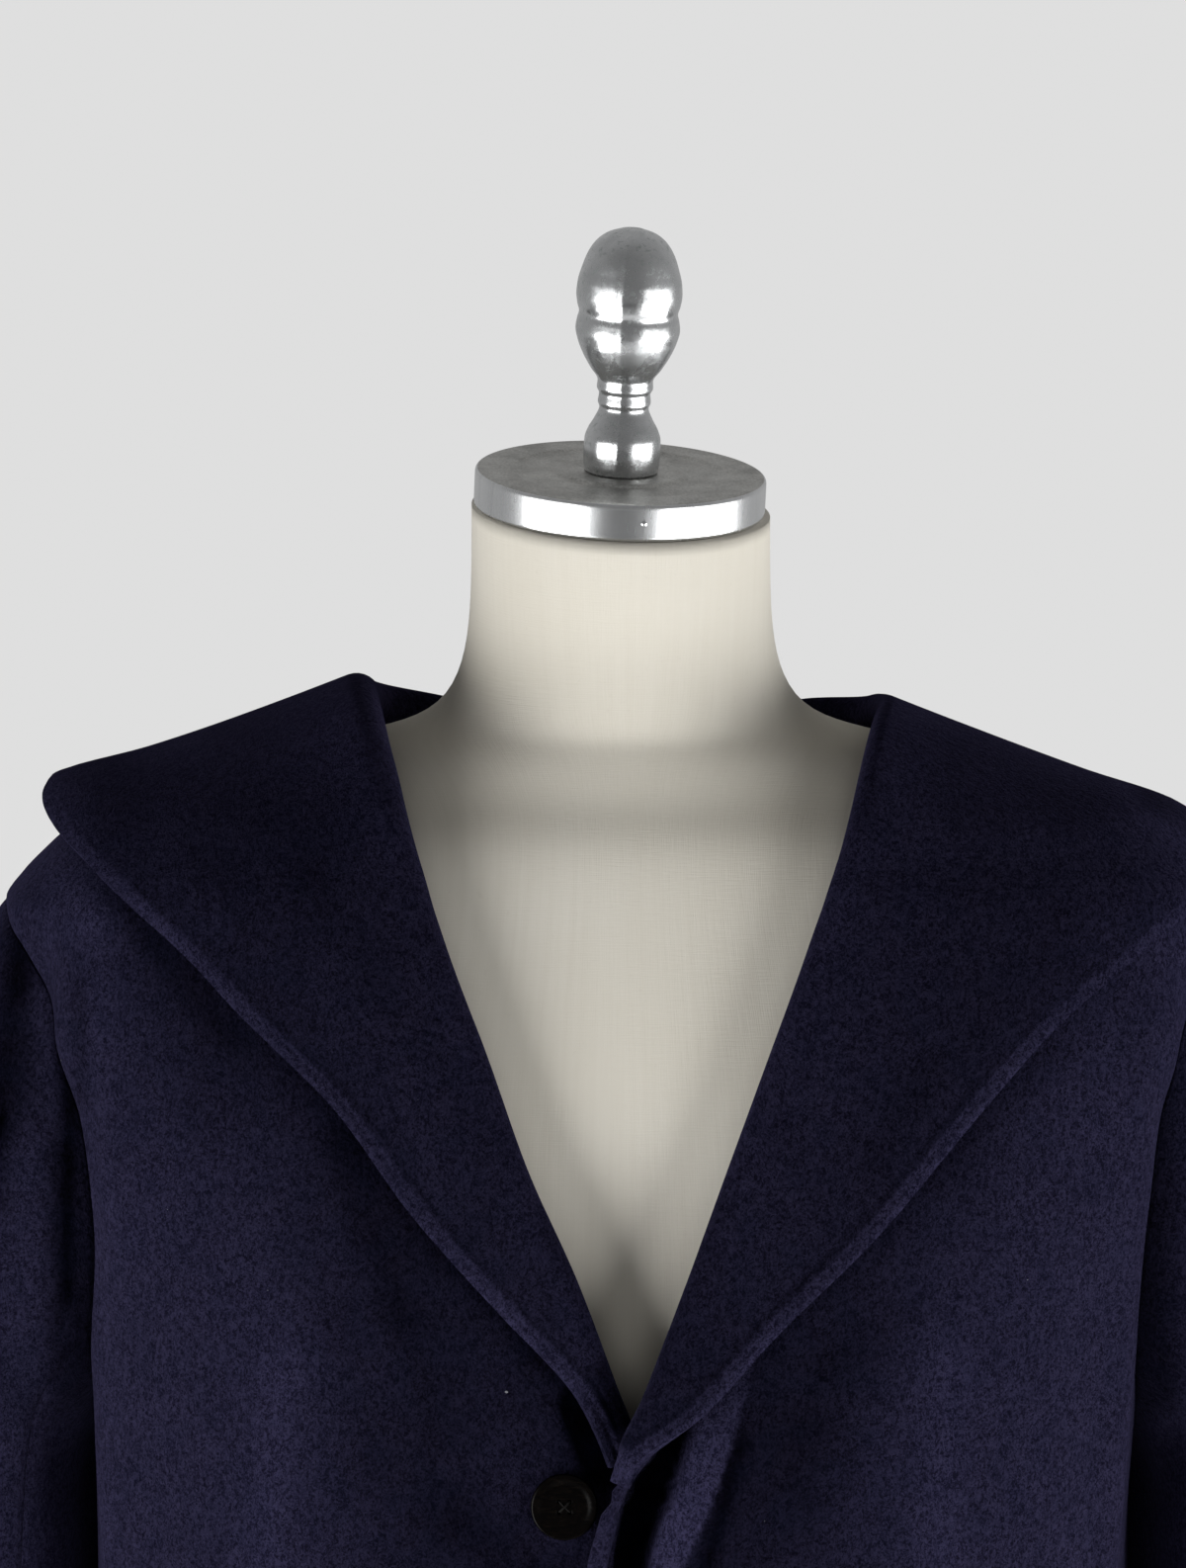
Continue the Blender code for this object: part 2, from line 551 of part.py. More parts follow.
def material(name, colour, roughness, metallic=0.0):
    made = bpy.data.materials.new(name)
    made.use_nodes = True
    shader = made.node_tree.nodes["Principled BSDF"]
    shader.inputs["Base Color"].default_value = (*colour, 1)
    shader.inputs["Roughness"].default_value = roughness
    shader.inputs["Metallic"].default_value = metallic
    return made


def mesh_from(name, points, faces):
    """A closed mesh whose faces point outwards."""
    mesh = bpy.data.meshes.new(name)
    mesh.from_pydata([tuple(p) for p in points], [], faces)
    shape = bmesh.new()
    shape.from_mesh(mesh)
    bmesh.ops.recalc_face_normals(shape, faces=shape.faces)
    if shape.calc_volume(signed=True) < 0:
        bmesh.ops.reverse_faces(shape, faces=shape.faces)
    shape.to_mesh(mesh)
    shape.free()
    return mesh


def add_object(name, mesh, finish, sharp_degrees):
    mesh.materials.append(finish)
    mesh.shade_smooth()
    mesh.set_sharp_from_angle(angle=math.radians(sharp_degrees))
    made = bpy.data.objects.new(name, mesh)
    bpy.context.scene.collection.objects.link(made)
    return made


def cloth_piece(name, outer, inner, finish):
    """A piece of cloth from two grids of points, rows by columns: its outer and its inner face."""
    rows, columns = outer.shape[:2]
    points = np.concatenate([outer.reshape(-1, 3), inner.reshape(-1, 3)])

    def index(layer, row, col):
        return layer * rows * columns + row * columns + col

    faces = []
    for r in range(rows - 1):
        for c in range(columns - 1):
            for layer in (0, 1):
                quad = [index(layer, r, c), index(layer, r, c + 1)]
                quad += [index(layer, r + 1, c + 1), index(layer, r + 1, c)]
                faces.append(quad if layer == 0 else quad[::-1])
    rim = [(0, c) for c in range(columns)] + [(r, columns - 1) for r in range(1, rows)]
    rim += [(rows - 1, c) for c in range(columns - 2, -1, -1)] + [(r, 0) for r in range(rows - 2, 0, -1)]
    for a, b in zip(rim, rim[1:] + rim[:1]):
        low, high = min(a, b), max(a, b)  # the same diagonal on both sides of a seam
        faces.append([index(0, *low), index(0, *high), index(1, *high)])
        faces.append([index(0, *low), index(1, *high), index(1, *low)])
    return add_object(name, mesh_from(name, points, faces), finish, 50)


def ringed_piece(name, points, rings, steps, finish):
    """A solid skinned over rings of points, with its two ends closed by a face."""
    faces = []
    for r in range(rings - 1):
        for s in range(steps):
            low, high = r * steps, (r + 1) * steps
            after = (s + 1) % steps
            faces.append([low + s, low + after, high + after, high + s])
    faces.append(list(range(steps))[::-1])
    faces.append(list(range((rings - 1) * steps, rings * steps)))
    return add_object(name, mesh_from(name, points, faces), finish, 35)


def turned_piece(name, profile, finish, steps=TURNED_STEPS):
    """A solid turned about the Z axis from rows of radius and height, foot first, with flat ends."""
    angles = np.linspace(0, 2 * math.pi, steps, endpoint=False)
    points = [(p.radius * math.cos(a), p.radius * math.sin(a), p.height) for p in profile for a in angles]
    return ringed_piece(name, points, len(profile), steps, finish)


# --- The coat's pieces ----------------------------------------------------------------------------------------
def body_panel(name, side, back, finish):
    """A front or back, as rows that run from its inner edge out to the side seam, armhole and shoulder."""
    inner_line = np.array(inner_edge(side, back, SKIRT_ROWS))
    outer_line = np.array(outer_edge(side, back, SKIRT_ROWS))
    share = np.array(BACK_COLUMNS if back else FRONT_COLUMNS)
    heading = outer_line[:, :1].copy()  # the columns start to turn in towards the armhole below it
    low = SKIRT_ROWS + 3
    early = ease((outer_line[:low, 1:] - COLUMN_TURN_Z) / (outer_line[low, 1] - COLUMN_TURN_Z))
    heading[:low] = 1 + (heading[low] - 1) * early
    turns = inner_line[:, :1] + share * (heading - inner_line[:, :1]) + share**6 * (outer_line[:, :1] - heading)
    heights = inner_line[:, 1:] + share * (outer_line[:, 1:] - inner_line[:, 1:])
    points, normals = on_chart(FOLDED[side], turns, heights)
    return cloth_piece(name, points, points - CLOTH * normals, finish)


def collar_section(side, station):
    """One section of the collar from the neck seam round the roll to the outer edge: its middle surface, the
    directions across its thickness, and the thickness at each point.
    """
    roll_x, edge_x = (float(collar_value(side, n, station)) for n in ("roll_x", "edge_x"))
    drops = [smooth_drop(side, n, station) for n in ("roll_drop", "edge_drop")]
    roll_q, edge_q = (math.copysign(math.sqrt(abs(d)), d) for d in drops)
    lift, edge_lift = (float(collar_value(side, n, station)) for n in ("lift", "edge_lift"))
    share = np.linspace(0, 1, FALL_STEPS + 1)
    share = share + 0.10 * np.sin(math.pi * share)  # closer steps towards the outer edge
    where = []
    for s in share:
        q = roll_q + s * (edge_q - roll_q)
        where.append(over_shoulder(side, roll_x + s * (edge_x - roll_x), q * abs(q)))
    turns, heights = np.array(where).T
    base, normals = on_chart(PLAIN[side], turns, heights)
    foot, normal = base[0], normals[0]
    out = base[1] - foot
    out = unit(out - normal * (out @ normal))
    radius = lift / 2
    bend = np.linspace(-math.pi / 2, math.pi / 2, FOLD_STEPS)[:, None]
    spoke = -np.cos(bend) * out + np.sin(bend) * normal
    fold = foot + (radius - CLOTH / 2) * normal + radius * spoke
    height = (lift - CLOTH / 2) + (edge_lift - lift + CLOTH / 2) * share[1:] ** 3
    fall = base[1:] + height[:, None] * normals[1:]
    thick = CLOTH + (COLLAR_CLOTH - CLOTH) * ease(np.linspace(0, 1, FOLD_STEPS))
    thick = np.concatenate([thick, np.full(FALL_STEPS, COLLAR_CLOTH)])
    return np.concatenate([fold, fall]), np.concatenate([spoke, normals[1:]]), thick


def collar_piece(name, side, finish):
    """Half of the shawl collar, from the foot of the lapel to the centre back seam."""
    stations = ROLL_STATIONS + NECK_STATIONS[-2::-1]
    middle, across, thick = (np.array(a) for a in zip(*(collar_section(side, s) for s in stations)))
    half = across * thick[..., None] / 2
    outer, inner = middle + half, middle - half
    for face in (outer, inner):
        face[-1, :, 0] = side * SEAM / 2
    return cloth_piece(name, outer, inner, finish)


def sleeve_ring(side, row, turns):
    """A ring of the sleeve's outer face for one row of the table, at the given turns round the tube."""
    over, under = (np.array([side * x, row.centre_y, z]) for x, z in row_lines(row))
    angles = np.radians(turns)[:, None]
    ring = (over + under) / 2 + np.cos(angles) * (over - under) / 2
    return ring + np.sin(angles) * np.array([0.0, -row.depth, 0.0])


def row_lines(row):
    return (row.over_x, row.over_z), (row.under_x, row.under_z)


def sleeve_faces(side):
    """The sleeve's outer and inner face as rings by turns, every armhole step. The first ring is the armhole's
    edge, and its difference from a plain ellipse fades down the arm.
    """
    turns = np.arange(0, 360, ARMHOLE_STEP)
    edge = np.array([armhole_point(side, t) for t in turns])
    loop, loop_normals = on_chart(FOLDED[side], edge[:, 0], edge[:, 1])
    odd = loop - sleeve_ring(side, SLEEVE[0], turns)
    rings = []
    for step in np.linspace(0, len(SLEEVE) - 1, SLEEVE_RINGS):
        row = Sleeve(*(float(smooth_curve(range(len(SLEEVE)), [r[k] for r in SLEEVE], step)) for k in range(6)))
        ring = sleeve_ring(side, row, turns) + odd * (1 - ease(step / 3))
        out = unit(ring - ring.mean(0))
        for d in DENTS:
            near = bump((np.mod(turns - d.turn + 180, 360) - 180) / d.turn_width)
            ring = ring + out * (d.height * near * bump((ring[:, 2] - d.z) / d.z_width))[:, None]
        rings.append(ring)
    rings = np.array(rings)
    round_it = np.roll(rings, -1, 1) - np.roll(rings, 1, 1)
    normals = side * unit(np.cross(round_it, np.gradient(rings, axis=0)))
    inner = rings - CLOTH * normals
    inner[0] = loop - CLOTH * unit(loop_normals + normals[0])  # mitred where the sleeve turns off the body
    return rings, inner


def sleeve_pieces(side, word, finish):
    """The top sleeve and the under sleeve of one side."""
    faces = sleeve_faces(side)
    front_seam, back_seam = SLEEVE_SEAMS
    for kind, first, last in (("top", back_seam - 360, front_seam), ("under", front_seam, back_seam)):
        turns = np.arange(first, last + 1, ARMHOLE_STEP) % 360 // ARMHOLE_STEP
        grids = []
        for face in faces:
            grid = face[:, turns].copy()
            for edge, beside in ((0, 1), (-1, -2)):
                step = grid[:, beside] - grid[:, edge]
                grid[:, edge] += step * (SEAM / 2 / np.linalg.norm(step, axis=1, keepdims=True))
            grids.append(grid)
        cloth_piece(f"{kind}_sleeve_{word}", *grids, finish)


def buttons(finish):
    """Buttons down the right front, each with a rim, a dished face, four holes and a thread shank."""
    for n in range(BUTTONS):
        z = BUTTON_TOP_Z - n * BUTTON_SPACING
        foot, normal = on_chart(FOLDED[-1], turn_at_x(-1, z, -BUTTON_X, False), z)
        place = Matrix.Translation(Vector(foot)) @ Vector(normal).to_track_quat("Z", "Y").to_matrix().to_4x4()
        button = turned_piece(f"button_{n + 1}", BUTTON, finish)
        drill = hole_cutter(f"button_{n + 1}_holes")
        for thing in (button, drill):
            thing.matrix_world = place
        cut = button.modifiers.new("holes", "BOOLEAN")
        cut.operation = "DIFFERENCE"
        cut.object = drill


def hole_cutter(name):
    """Four drills, one for each hole of a button, that stop above its shank."""
    shape = bmesh.new()
    for x, y in ((1, 1), (-1, 1), (-1, -1), (1, -1)):
        at = Matrix.Translation((x * HOLE_PITCH, y * HOLE_PITCH, (HOLE_FOOT + HOLE_TOP) / 2))
        size = {"radius1": HOLE_RADIUS, "radius2": HOLE_RADIUS, "depth": HOLE_TOP - HOLE_FOOT}
        bmesh.ops.create_cone(shape, cap_ends=True, segments=6, matrix=at, **size)
    mesh = bpy.data.meshes.new(name)
    shape.to_mesh(mesh)
    shape.free()
    cutter = bpy.data.objects.new(name, mesh)
    cutter.hide_render = True
    cutter.display_type = "WIRE"
    bpy.context.scene.collection.objects.link(cutter)
    return cutter


# --- The dress form -------------------------------------------------------------------------------------------
def form_ring(row, angles):
    bent = 2 / row.squareness
    x = row.half_width * np.sign(np.sin(angles)) * np.abs(np.sin(angles)) ** bent
    forwards = np.cos(angles)
    y = -np.where(forwards > 0, row.front, row.back) * np.sign(forwards) * np.abs(forwards) ** bent
    return np.stack([x, y, np.full(len(angles), row.z)], 1)


def neck_ring(row, angles):
    tilt, lean = math.radians(row.tilt), math.radians(row.lean)
    x, y = row.radius * np.sin(angles), -row.radius * np.cos(angles)
    return np.stack([x * math.cos(lean), row.centre_y + y, row.z + y * math.sin(tilt) - x * math.sin(lean)], 1)


def dress_form(finish):
    """The form's body, shoulders and neck in one covered shell, closed at the bottom and under the cap."""
    angles = np.linspace(0, 2 * math.pi, FORM_STEPS, endpoint=False)
    under_cloth = CLOTH * math.hypot(1, SHOULDER_SLOPE) + FORM_REST
    sections = list(FORM_BODY)
    for s in FORM_SHOULDER:
        sections.append(Section(float(ridge(s.half_width)) - under_cloth - s.drop, *s[1:]))
    rings = [form_ring(row, angles) for row in sections] + [neck_ring(row, angles) for row in FORM_NECK]
    return ringed_piece("form_torso", np.concatenate(rings), len(rings), FORM_STEPS, finish)


def cap_frame(height):
    """Where something stands on the tilted cap, height above its top."""
    turned = Matrix.Rotation(CAP_TILT, 4, "X") @ Matrix.Rotation(CAP_LEAN, 4, "Y")
    return Matrix.Translation((0, CAP_Y, CAP_TOP_Z)) @ turned @ Matrix.Translation((0, 0, height))


def stand_and_fittings(metal, steel, iron):
    """The metal cap on the neck, its knob, the pole under the form and the round base on the floor."""
    turned_piece("neck_cap", CAP, metal, steps=36).matrix_world = cap_frame(-CAP_HEIGHT)
    turned_piece("knob", KNOB, metal).matrix_world = cap_frame(CAP[-1].height - CAP_HEIGHT + SEAM)
    turned_piece("base", BASE, iron, steps=36)
    pole = (Turned(POLE_RADIUS, BASE_TOP_Z + SEAM), Turned(POLE_RADIUS, FORM_BOTTOM_Z - SEAM))
    turned_piece("pole", pole, steel)


def main():
    clear_scene()
    wool = material("navy_wool", (0.016, 0.016, 0.034), 0.95)
    canvas = material("form_canvas", (0.72, 0.67, 0.58), 0.90)
    metal = material("cast_aluminium", (0.60, 0.61, 0.62), 0.28, 1.0)
    horn = material("button_horn", (0.010, 0.009, 0.009), 0.30)
    steel = material("pole_steel", (0.45, 0.46, 0.47), 0.30, 1.0)
    iron = material("base_iron", (0.030, 0.030, 0.032), 0.55, 0.6)
    for side, word in ((+1, "left"), (-1, "right")):
        body_panel(f"front_{word}", side, False, wool)
        body_panel(f"back_{word}", side, True, wool)
        collar_piece(f"collar_{word}", side, wool)
        sleeve_pieces(side, word, wool)
    buttons(horn)
    dress_form(canvas)
    stand_and_fittings(metal, steel, iron)


main()
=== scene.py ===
"""The looks of a wool overcoat on a dress form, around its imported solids.

Metres, +Z up, the wearer's left at +X, the form faces -Y. The body of the coat is one surface read as a
chart of turn and height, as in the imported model: each panel is a patch of it, and the collar lies over it,
moved out. Here the same surfaces are cut finer and get their rounded edges, seam lines, soft creases, cloth
and metal.
"""

import math
from collections import namedtuple

import bpy
import numpy as np
from mathutils import Matrix, Vector


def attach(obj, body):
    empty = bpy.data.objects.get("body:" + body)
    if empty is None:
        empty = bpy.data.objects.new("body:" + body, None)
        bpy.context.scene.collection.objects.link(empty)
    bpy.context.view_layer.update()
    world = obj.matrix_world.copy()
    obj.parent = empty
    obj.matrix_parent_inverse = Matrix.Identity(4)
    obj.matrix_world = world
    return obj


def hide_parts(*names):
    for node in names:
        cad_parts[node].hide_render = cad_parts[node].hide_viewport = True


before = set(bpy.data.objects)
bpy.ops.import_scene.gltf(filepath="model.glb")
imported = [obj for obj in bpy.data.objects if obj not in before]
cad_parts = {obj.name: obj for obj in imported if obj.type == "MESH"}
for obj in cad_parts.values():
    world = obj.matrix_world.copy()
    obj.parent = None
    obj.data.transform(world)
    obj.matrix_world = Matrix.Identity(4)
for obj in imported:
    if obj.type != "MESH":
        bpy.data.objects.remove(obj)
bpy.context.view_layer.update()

# --- Sizes of the coat and its form -----------------------------------------------------------------------
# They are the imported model's, drawn a little finer at the closing edge, the lapels' feet and the knob.
CLOTH = 0.0030  # double-faced coating
COLLAR_CLOTH = 0.0042  # collar and facing sewn together and turned
SEAM = 0.0003
CURVED_SEAM = 0.0005

HEM_Z = 0.420
SHOULDER_TIP_Z = 1.335
SHOULDER_END = 0.236
SHOULDER_END_Z = 1.366
SHOULDER_SLOPE = 0.385
ARMPIT_Z = 1.100
ARMHOLE_FRONT = 0.080
ARMHOLE_BACK = 0.088

BACK_SEAM_SHARE = 0.2  # share of a seam's gap that the centre back seam keeps

BUTTON_RADIUS = 0.0140
BUTTON_THICK = 0.0042
BUTTON_X = -0.0237
BUTTON_TOP_Z = 1.102
BUTTON_SPACING = 0.125
BUTTONS = 3

NECK_RADIUS = 0.0638
FORM_REST = 0.0006
CAP_RADIUS = 0.0622
CAP_HEIGHT = 0.0160
CAP_TOP_Z = 1.519
CAP_Y = -0.012
CAP_TILT = math.radians(9)
CAP_LEAN = math.radians(2.6)

FORM_BOTTOM_Z = 0.780
POLE_RADIUS = 0.0130
BASE_RADIUS = 0.210
BASE_TOP_Z = 0.034

# A section of the coat's outer face at one height.
Section = namedtuple("Section", "z half_width front back squareness")


def slope_width(z):
    """Half width of the straight shoulder slope at height z."""
    return SHOULDER_END - (z - SHOULDER_END_Z) / SHOULDER_SLOPE


BODY = (
    Section(HEM_Z, 0.2520, 0.184, 0.180, 2.40),
    Section(0.600, 0.2460, 0.177, 0.173, 2.45),
    Section(0.800, 0.2370, 0.169, 0.163, 2.60),
    Section(0.950, 0.2295, 0.161, 0.153, 2.80),
    Section(1.060, 0.2255, 0.154, 0.146, 3.00),
    Section(1.120, 0.2260, 0.151, 0.141, 3.10),
    Section(1.170, 0.2295, 0.148, 0.139, 3.10),
    Section(1.200, 0.2338, 0.146, 0.138, 3.10),
    Section(1.224, 0.2390, 0.143, 0.137, 3.05),
    Section(1.248, 0.2445, 0.139, 0.135, 2.95),
    Section(1.276, 0.2525, 0.133, 0.133, 2.80),
    Section(1.302, 0.2580, 0.127, 0.130, 2.60),
    Section(1.320, 0.2615, 0.122, 0.127, 2.45),
    Section(SHOULDER_TIP_Z, 0.2650, 0.117, 0.124, 2.35),
    Section(1.345, 0.2585, 0.114, 0.121, 2.30),
    Section(1.355, 0.2490, 0.110, 0.118, 2.20),
    Section(SHOULDER_END_Z, SHOULDER_END, 0.106, 0.114, 2.10),
    Section(1.380, slope_width(1.380), 0.101, 0.108, 2.00),
    Section(1.395, slope_width(1.395), 0.0935, 0.100, 1.95),
    Section(1.410, slope_width(1.410), 0.087, 0.091, 1.90),
    Section(1.428, slope_width(1.428), 0.080, 0.082, 1.90),
    Section(1.457, slope_width(1.457), 0.070, 0.070, 1.90),
)

# How far each front reaches past the centre below the lapels. The left is on top.
Closing = namedtuple("Closing", "z left right")
CLOSING = (
    Closing(HEM_Z, 0.0040, 0.0030),
    Closing(0.700, 0.0060, -0.0010),
    Closing(0.950, 0.0065, -0.0030),
    Closing(0.985, 0.0080, -0.0045),
    Closing(1.020, 0.0140, -0.0085),
    Closing(1.046, 0.0165, -0.0093),
    Closing(1.065, 0.0158, -0.0065),
    Closing(1.080, 0.0138, -0.0035),
    Closing(1.091, 0.0108, -0.0020),
    Closing(1.099, 0.0088, -0.0010),
    Closing(1.1055, 0.0040, 0.0000),
)

# The hollow beside the left closing edge and the fold beyond it.
Hollow = namedtuple("Hollow", "z start foot crest depth height")
HOLLOW = (
    Hollow(0.880, 0.0020, 0.0150, 0.0270, 0.0000, 0.0000),
    Hollow(0.960, -0.0015, 0.0100, 0.0215, 0.0060, 0.0010),
    Hollow(1.010, -0.0058, 0.0070, 0.0185, 0.0120, 0.0020),
    Hollow(1.046, -0.0060, 0.0070, 0.0200, 0.0170, 0.0025),
    Hollow(1.076, -0.0062, 0.0105, 0.0247, 0.0200, 0.0030),
    Hollow(1.091, -0.0035, 0.0142, 0.0313, 0.0210, 0.0030),
    Hollow(1.103, -0.0007, 0.0186, 0.0362, 0.0210, 0.0030),
    Hollow(1.111, 0.0020, 0.0211, 0.0390, 0.0200, 0.0028),
    Hollow(1.123, 0.0110, 0.0248, 0.0435, 0.0170, 0.0024),
    Hollow(1.138, 0.0190, 0.0290, 0.0476, 0.0125, 0.0020),
    Hollow(1.152, 0.0230, 0.0330, 0.0520, 0.0070, 0.0012),
    Hollow(1.168, 0.0270, 0.0370, 0.0560, 0.0000, 0.0000),
)

# Each half of the collar, from the foot of the lapel (station 0) to the shoulder (1) and centre back (2).
Collar = namedtuple("Collar", "station roll_x roll_drop edge_x edge_drop lift edge_lift")
LEFT_COLLAR = (
    Collar(0.00, -0.0010, -0.3425, 0.0012, -0.3430, 0.0038, 0.0050),
    Collar(0.03, 0.0010, -0.3375, 0.0036, -0.3378, 0.0052, 0.0060),
    Collar(0.06, 0.0028, -0.3308, 0.0078, -0.3308, 0.0068, 0.0068),
    Collar(0.15, 0.0143, -0.3050, 0.0315, -0.3050, 0.0088, 0.0080),
    Collar(0.30, 0.0319, -0.2550, 0.0662, -0.2550, 0.0100, 0.0088),
    Collar(0.45, 0.0493, -0.2020, 0.1053, -0.2020, 0.0105, 0.0090),
    Collar(0.60, 0.0664, -0.1500, 0.1391, -0.1500, 0.0105, 0.0090),
    Collar(0.75, 0.0836, -0.0980, 0.1749, -0.0980, 0.0105, 0.0090),
    Collar(0.87, 0.0986, -0.0500, 0.2158, -0.0500, 0.0105, 0.0085),
    Collar(0.95, 0.1065, -0.0170, 0.2430, -0.0180, 0.0085, 0.0085),
    Collar(1.00, 0.1150, 0.0000, 0.2510, 0.0010, 0.0080, 0.0095),
    Collar(1.15, 0.1100, 0.0080, 0.2360, 0.0450, 0.0110, 0.0095),
    Collar(1.40, 0.0810, 0.0255, 0.1820, 0.0920, 0.0130, 0.0080),
    Collar(1.70, 0.0405, 0.0473, 0.0960, 0.1420, 0.0130, 0.0075),
    Collar(2.00, 0.0000, 0.0650, 0.0000, 0.1780, 0.0130, 0.0075),
)
RIGHT_COLLAR = (
    Collar(0.00, -0.0020, -0.3360, 0.0050, -0.3365, 0.0062, 0.0060),
    Collar(0.06, 0.0002, -0.3250, 0.0090, -0.3250, 0.0070, 0.0066),
    Collar(0.15, 0.0072, -0.3050, 0.0172, -0.3050, 0.0080, 0.0076),
    Collar(0.30, 0.0245, -0.2550, 0.0503, -0.2550, 0.0100, 0.0092),
    Collar(0.45, 0.0459, -0.2020, 0.0857, -0.2020, 0.0120, 0.0105),
    Collar(0.60, 0.0632, -0.1500, 0.1159, -0.1500, 0.0135, 0.0118),
    Collar(0.75, 0.0815, -0.0980, 0.1549, -0.0980, 0.0150, 0.0130),
    Collar(0.87, 0.0956, -0.0500, 0.1914, -0.0500, 0.0160, 0.0142),
    Collar(0.92, 0.1010, -0.0290, 0.2120, -0.0300, 0.0166, 0.0165),
    Collar(0.96, 0.1058, -0.0130, 0.2272, -0.0140, 0.0170, 0.0192),
    Collar(1.00, 0.1115, 0.0000, 0.2342, -0.0018, 0.0170, 0.0215),
    Collar(1.05, 0.1112, 0.0025, 0.2315, 0.0100, 0.0170, 0.0205),
    Collar(1.15, 0.1080, 0.0080, 0.2230, 0.0420, 0.0170, 0.0140),
    Collar(1.40, 0.0800, 0.0255, 0.1780, 0.0920, 0.0145, 0.0085),
    Collar(1.70, 0.0400, 0.0473, 0.0950, 0.1420, 0.0132, 0.0075),
    Collar(2.00, 0.0000, 0.0650, 0.0000, 0.1780, 0.0130, 0.0075),
)

COLLARS = {+1: LEFT_COLLAR, -1: RIGHT_COLLAR}

# Soft creases of the fronts, as lines from (top_x, top_z) to (low_x, low_z).
Crease = namedtuple("Crease", "side top_x top_z low_x low_z width height")
CREASES = (
    Crease(+1, 0.213, 1.300, 0.211, 0.960, 0.018, +0.0030),
    Crease(-1, 0.213, 1.300, 0.211, 0.960, 0.018, +0.0030),
    Crease(+1, 0.231, 1.290, 0.224, 1.140, 0.014, -0.0040),
    Crease(-1, 0.231, 1.290, 0.224, 1.140, 0.014, -0.0040),
    Crease(-1, 0.115, 1.080, 0.150, 0.500, 0.062, -0.0055),
    Crease(+1, 0.125, 1.060, 0.160, 0.500, 0.062, -0.0050),
)

# Flutes of the skirt: bearing is 0 at the front and 180 behind.
Flute = namedtuple("Flute", "bearing top_z width height")
FLUTES = (
    Flute(34, 0.90, 15, +0.0070),
    Flute(52, 0.95, 14, -0.0070),
    Flute(72, 1.00, 15, +0.0090),
    Flute(97, 1.00, 16, -0.0090),
    Flute(120, 1.02, 17, +0.0110),
    Flute(145, 1.00, 16, -0.0090),
    Flute(167, 1.02, 14, +0.0070),
)

# The sleeve's outline down the arm: its upper and lower line seen from the front, its centre and half depth.
Sleeve = namedtuple("Sleeve", "over_x over_z under_x under_z centre_y depth")
SLEEVE = (
    Sleeve(0.2650, 1.335, 0.2257, 1.100, 0.0040, 0.0840),
    Sleeve(0.2795, 1.312, 0.2290, 1.092, 0.0035, 0.0850),
    Sleeve(0.2930, 1.285, 0.2304, 1.083, 0.0030, 0.0850),
    Sleeve(0.3060, 1.250, 0.2308, 1.070, 0.0020, 0.0840),
    Sleeve(0.3170, 1.205, 0.2312, 1.050, 0.0010, 0.0825),
    Sleeve(0.3255, 1.150, 0.2316, 1.022, 0.0005, 0.0805),
    Sleeve(0.3310, 1.085, 0.2320, 0.985, 0.0000, 0.0780),
    Sleeve(0.3350, 1.015, 0.2345, 0.945, -0.0010, 0.0750),
    Sleeve(0.3375, 0.940, 0.2375, 0.900, -0.0030, 0.0715),
    Sleeve(0.3395, 0.865, 0.2420, 0.845, -0.0070, 0.0680),
    Sleeve(0.3410, 0.790, 0.2470, 0.782, -0.0120, 0.0640),
    Sleeve(0.3420, 0.716, 0.2520, 0.714, -0.0170, 0.0600),
)
# Dents of the sleeve: turn round the tube and height, then the dent's own width, height and depth.
Dent = namedtuple("Dent", "turn z turn_width z_width height")
DENTS = (
    Dent(95, 0.985, 80, 0.034, -0.0050),
    Dent(75, 0.935, 80, 0.032, +0.0040),
    Dent(105, 0.888, 80, 0.032, -0.0050),
    Dent(150, 1.105, 60, 0.042, -0.0050),
    Dent(300, 1.010, 80, 0.045, -0.0045),
)

FORM_BODY = (
    Section(FORM_BOTTOM_Z, 0.158, 0.108, 0.118, 2.2),
    Section(0.830, 0.172, 0.115, 0.129, 2.3),
    Section(0.900, 0.177, 0.118, 0.134, 2.3),
    Section(0.960, 0.168, 0.112, 0.124, 2.3),
    Section(1.020, 0.154, 0.106, 0.106, 2.3),
    Section(1.070, 0.153, 0.108, 0.100, 2.3),
    Section(1.130, 0.162, 0.116, 0.103, 2.4),
    Section(1.200, 0.178, 0.124, 0.110, 2.5),
    Section(1.250, 0.191, 0.124, 0.116, 2.5),
    Section(1.290, 0.203, 0.118, 0.116, 2.5),
    Section(1.320, 0.212, 0.110, 0.113, 2.4),
    Section(1.342, 0.2155, 0.1035, 0.108, 2.3),
    Section(1.358, 0.2120, 0.098, 0.103, 2.2),
    Section(1.370, 0.2040, 0.0935, 0.099, 2.1),
)
Shoulder = namedtuple("Shoulder", "drop half_width front back squareness")
FORM_SHOULDER = (
    Shoulder(0.0000, 0.190, 0.0850, 0.091, 1.85),
    Shoulder(0.0000, 0.160, 0.0790, 0.084, 1.80),
    Shoulder(0.0000, 0.132, 0.0745, 0.078, 1.80),
    Shoulder(0.0040, 0.110, 0.0720, 0.075, 1.85),
    Shoulder(0.0080, 0.092, 0.0705, 0.072, 1.95),
    Shoulder(0.0100, 0.080, 0.0695, 0.070, 2.00),
)
Neck = namedtuple("Neck", "z radius centre_y tilt lean")
FORM_NECK = (
    Neck(1.4260, 0.0705, -0.0015, 1.0, 0.0),
    Neck(1.4360, 0.0668, -0.0030, 2.5, 0.4),
    Neck(1.4520, 0.0646, -0.0050, 5.0, 1.0),
    Neck(1.4750, NECK_RADIUS, -0.0080, 8.0, 2.0),
    Neck(CAP_TOP_Z - (CAP_HEIGHT + SEAM), NECK_RADIUS, CAP_Y + 0.0025, 9.0, 2.6),
)

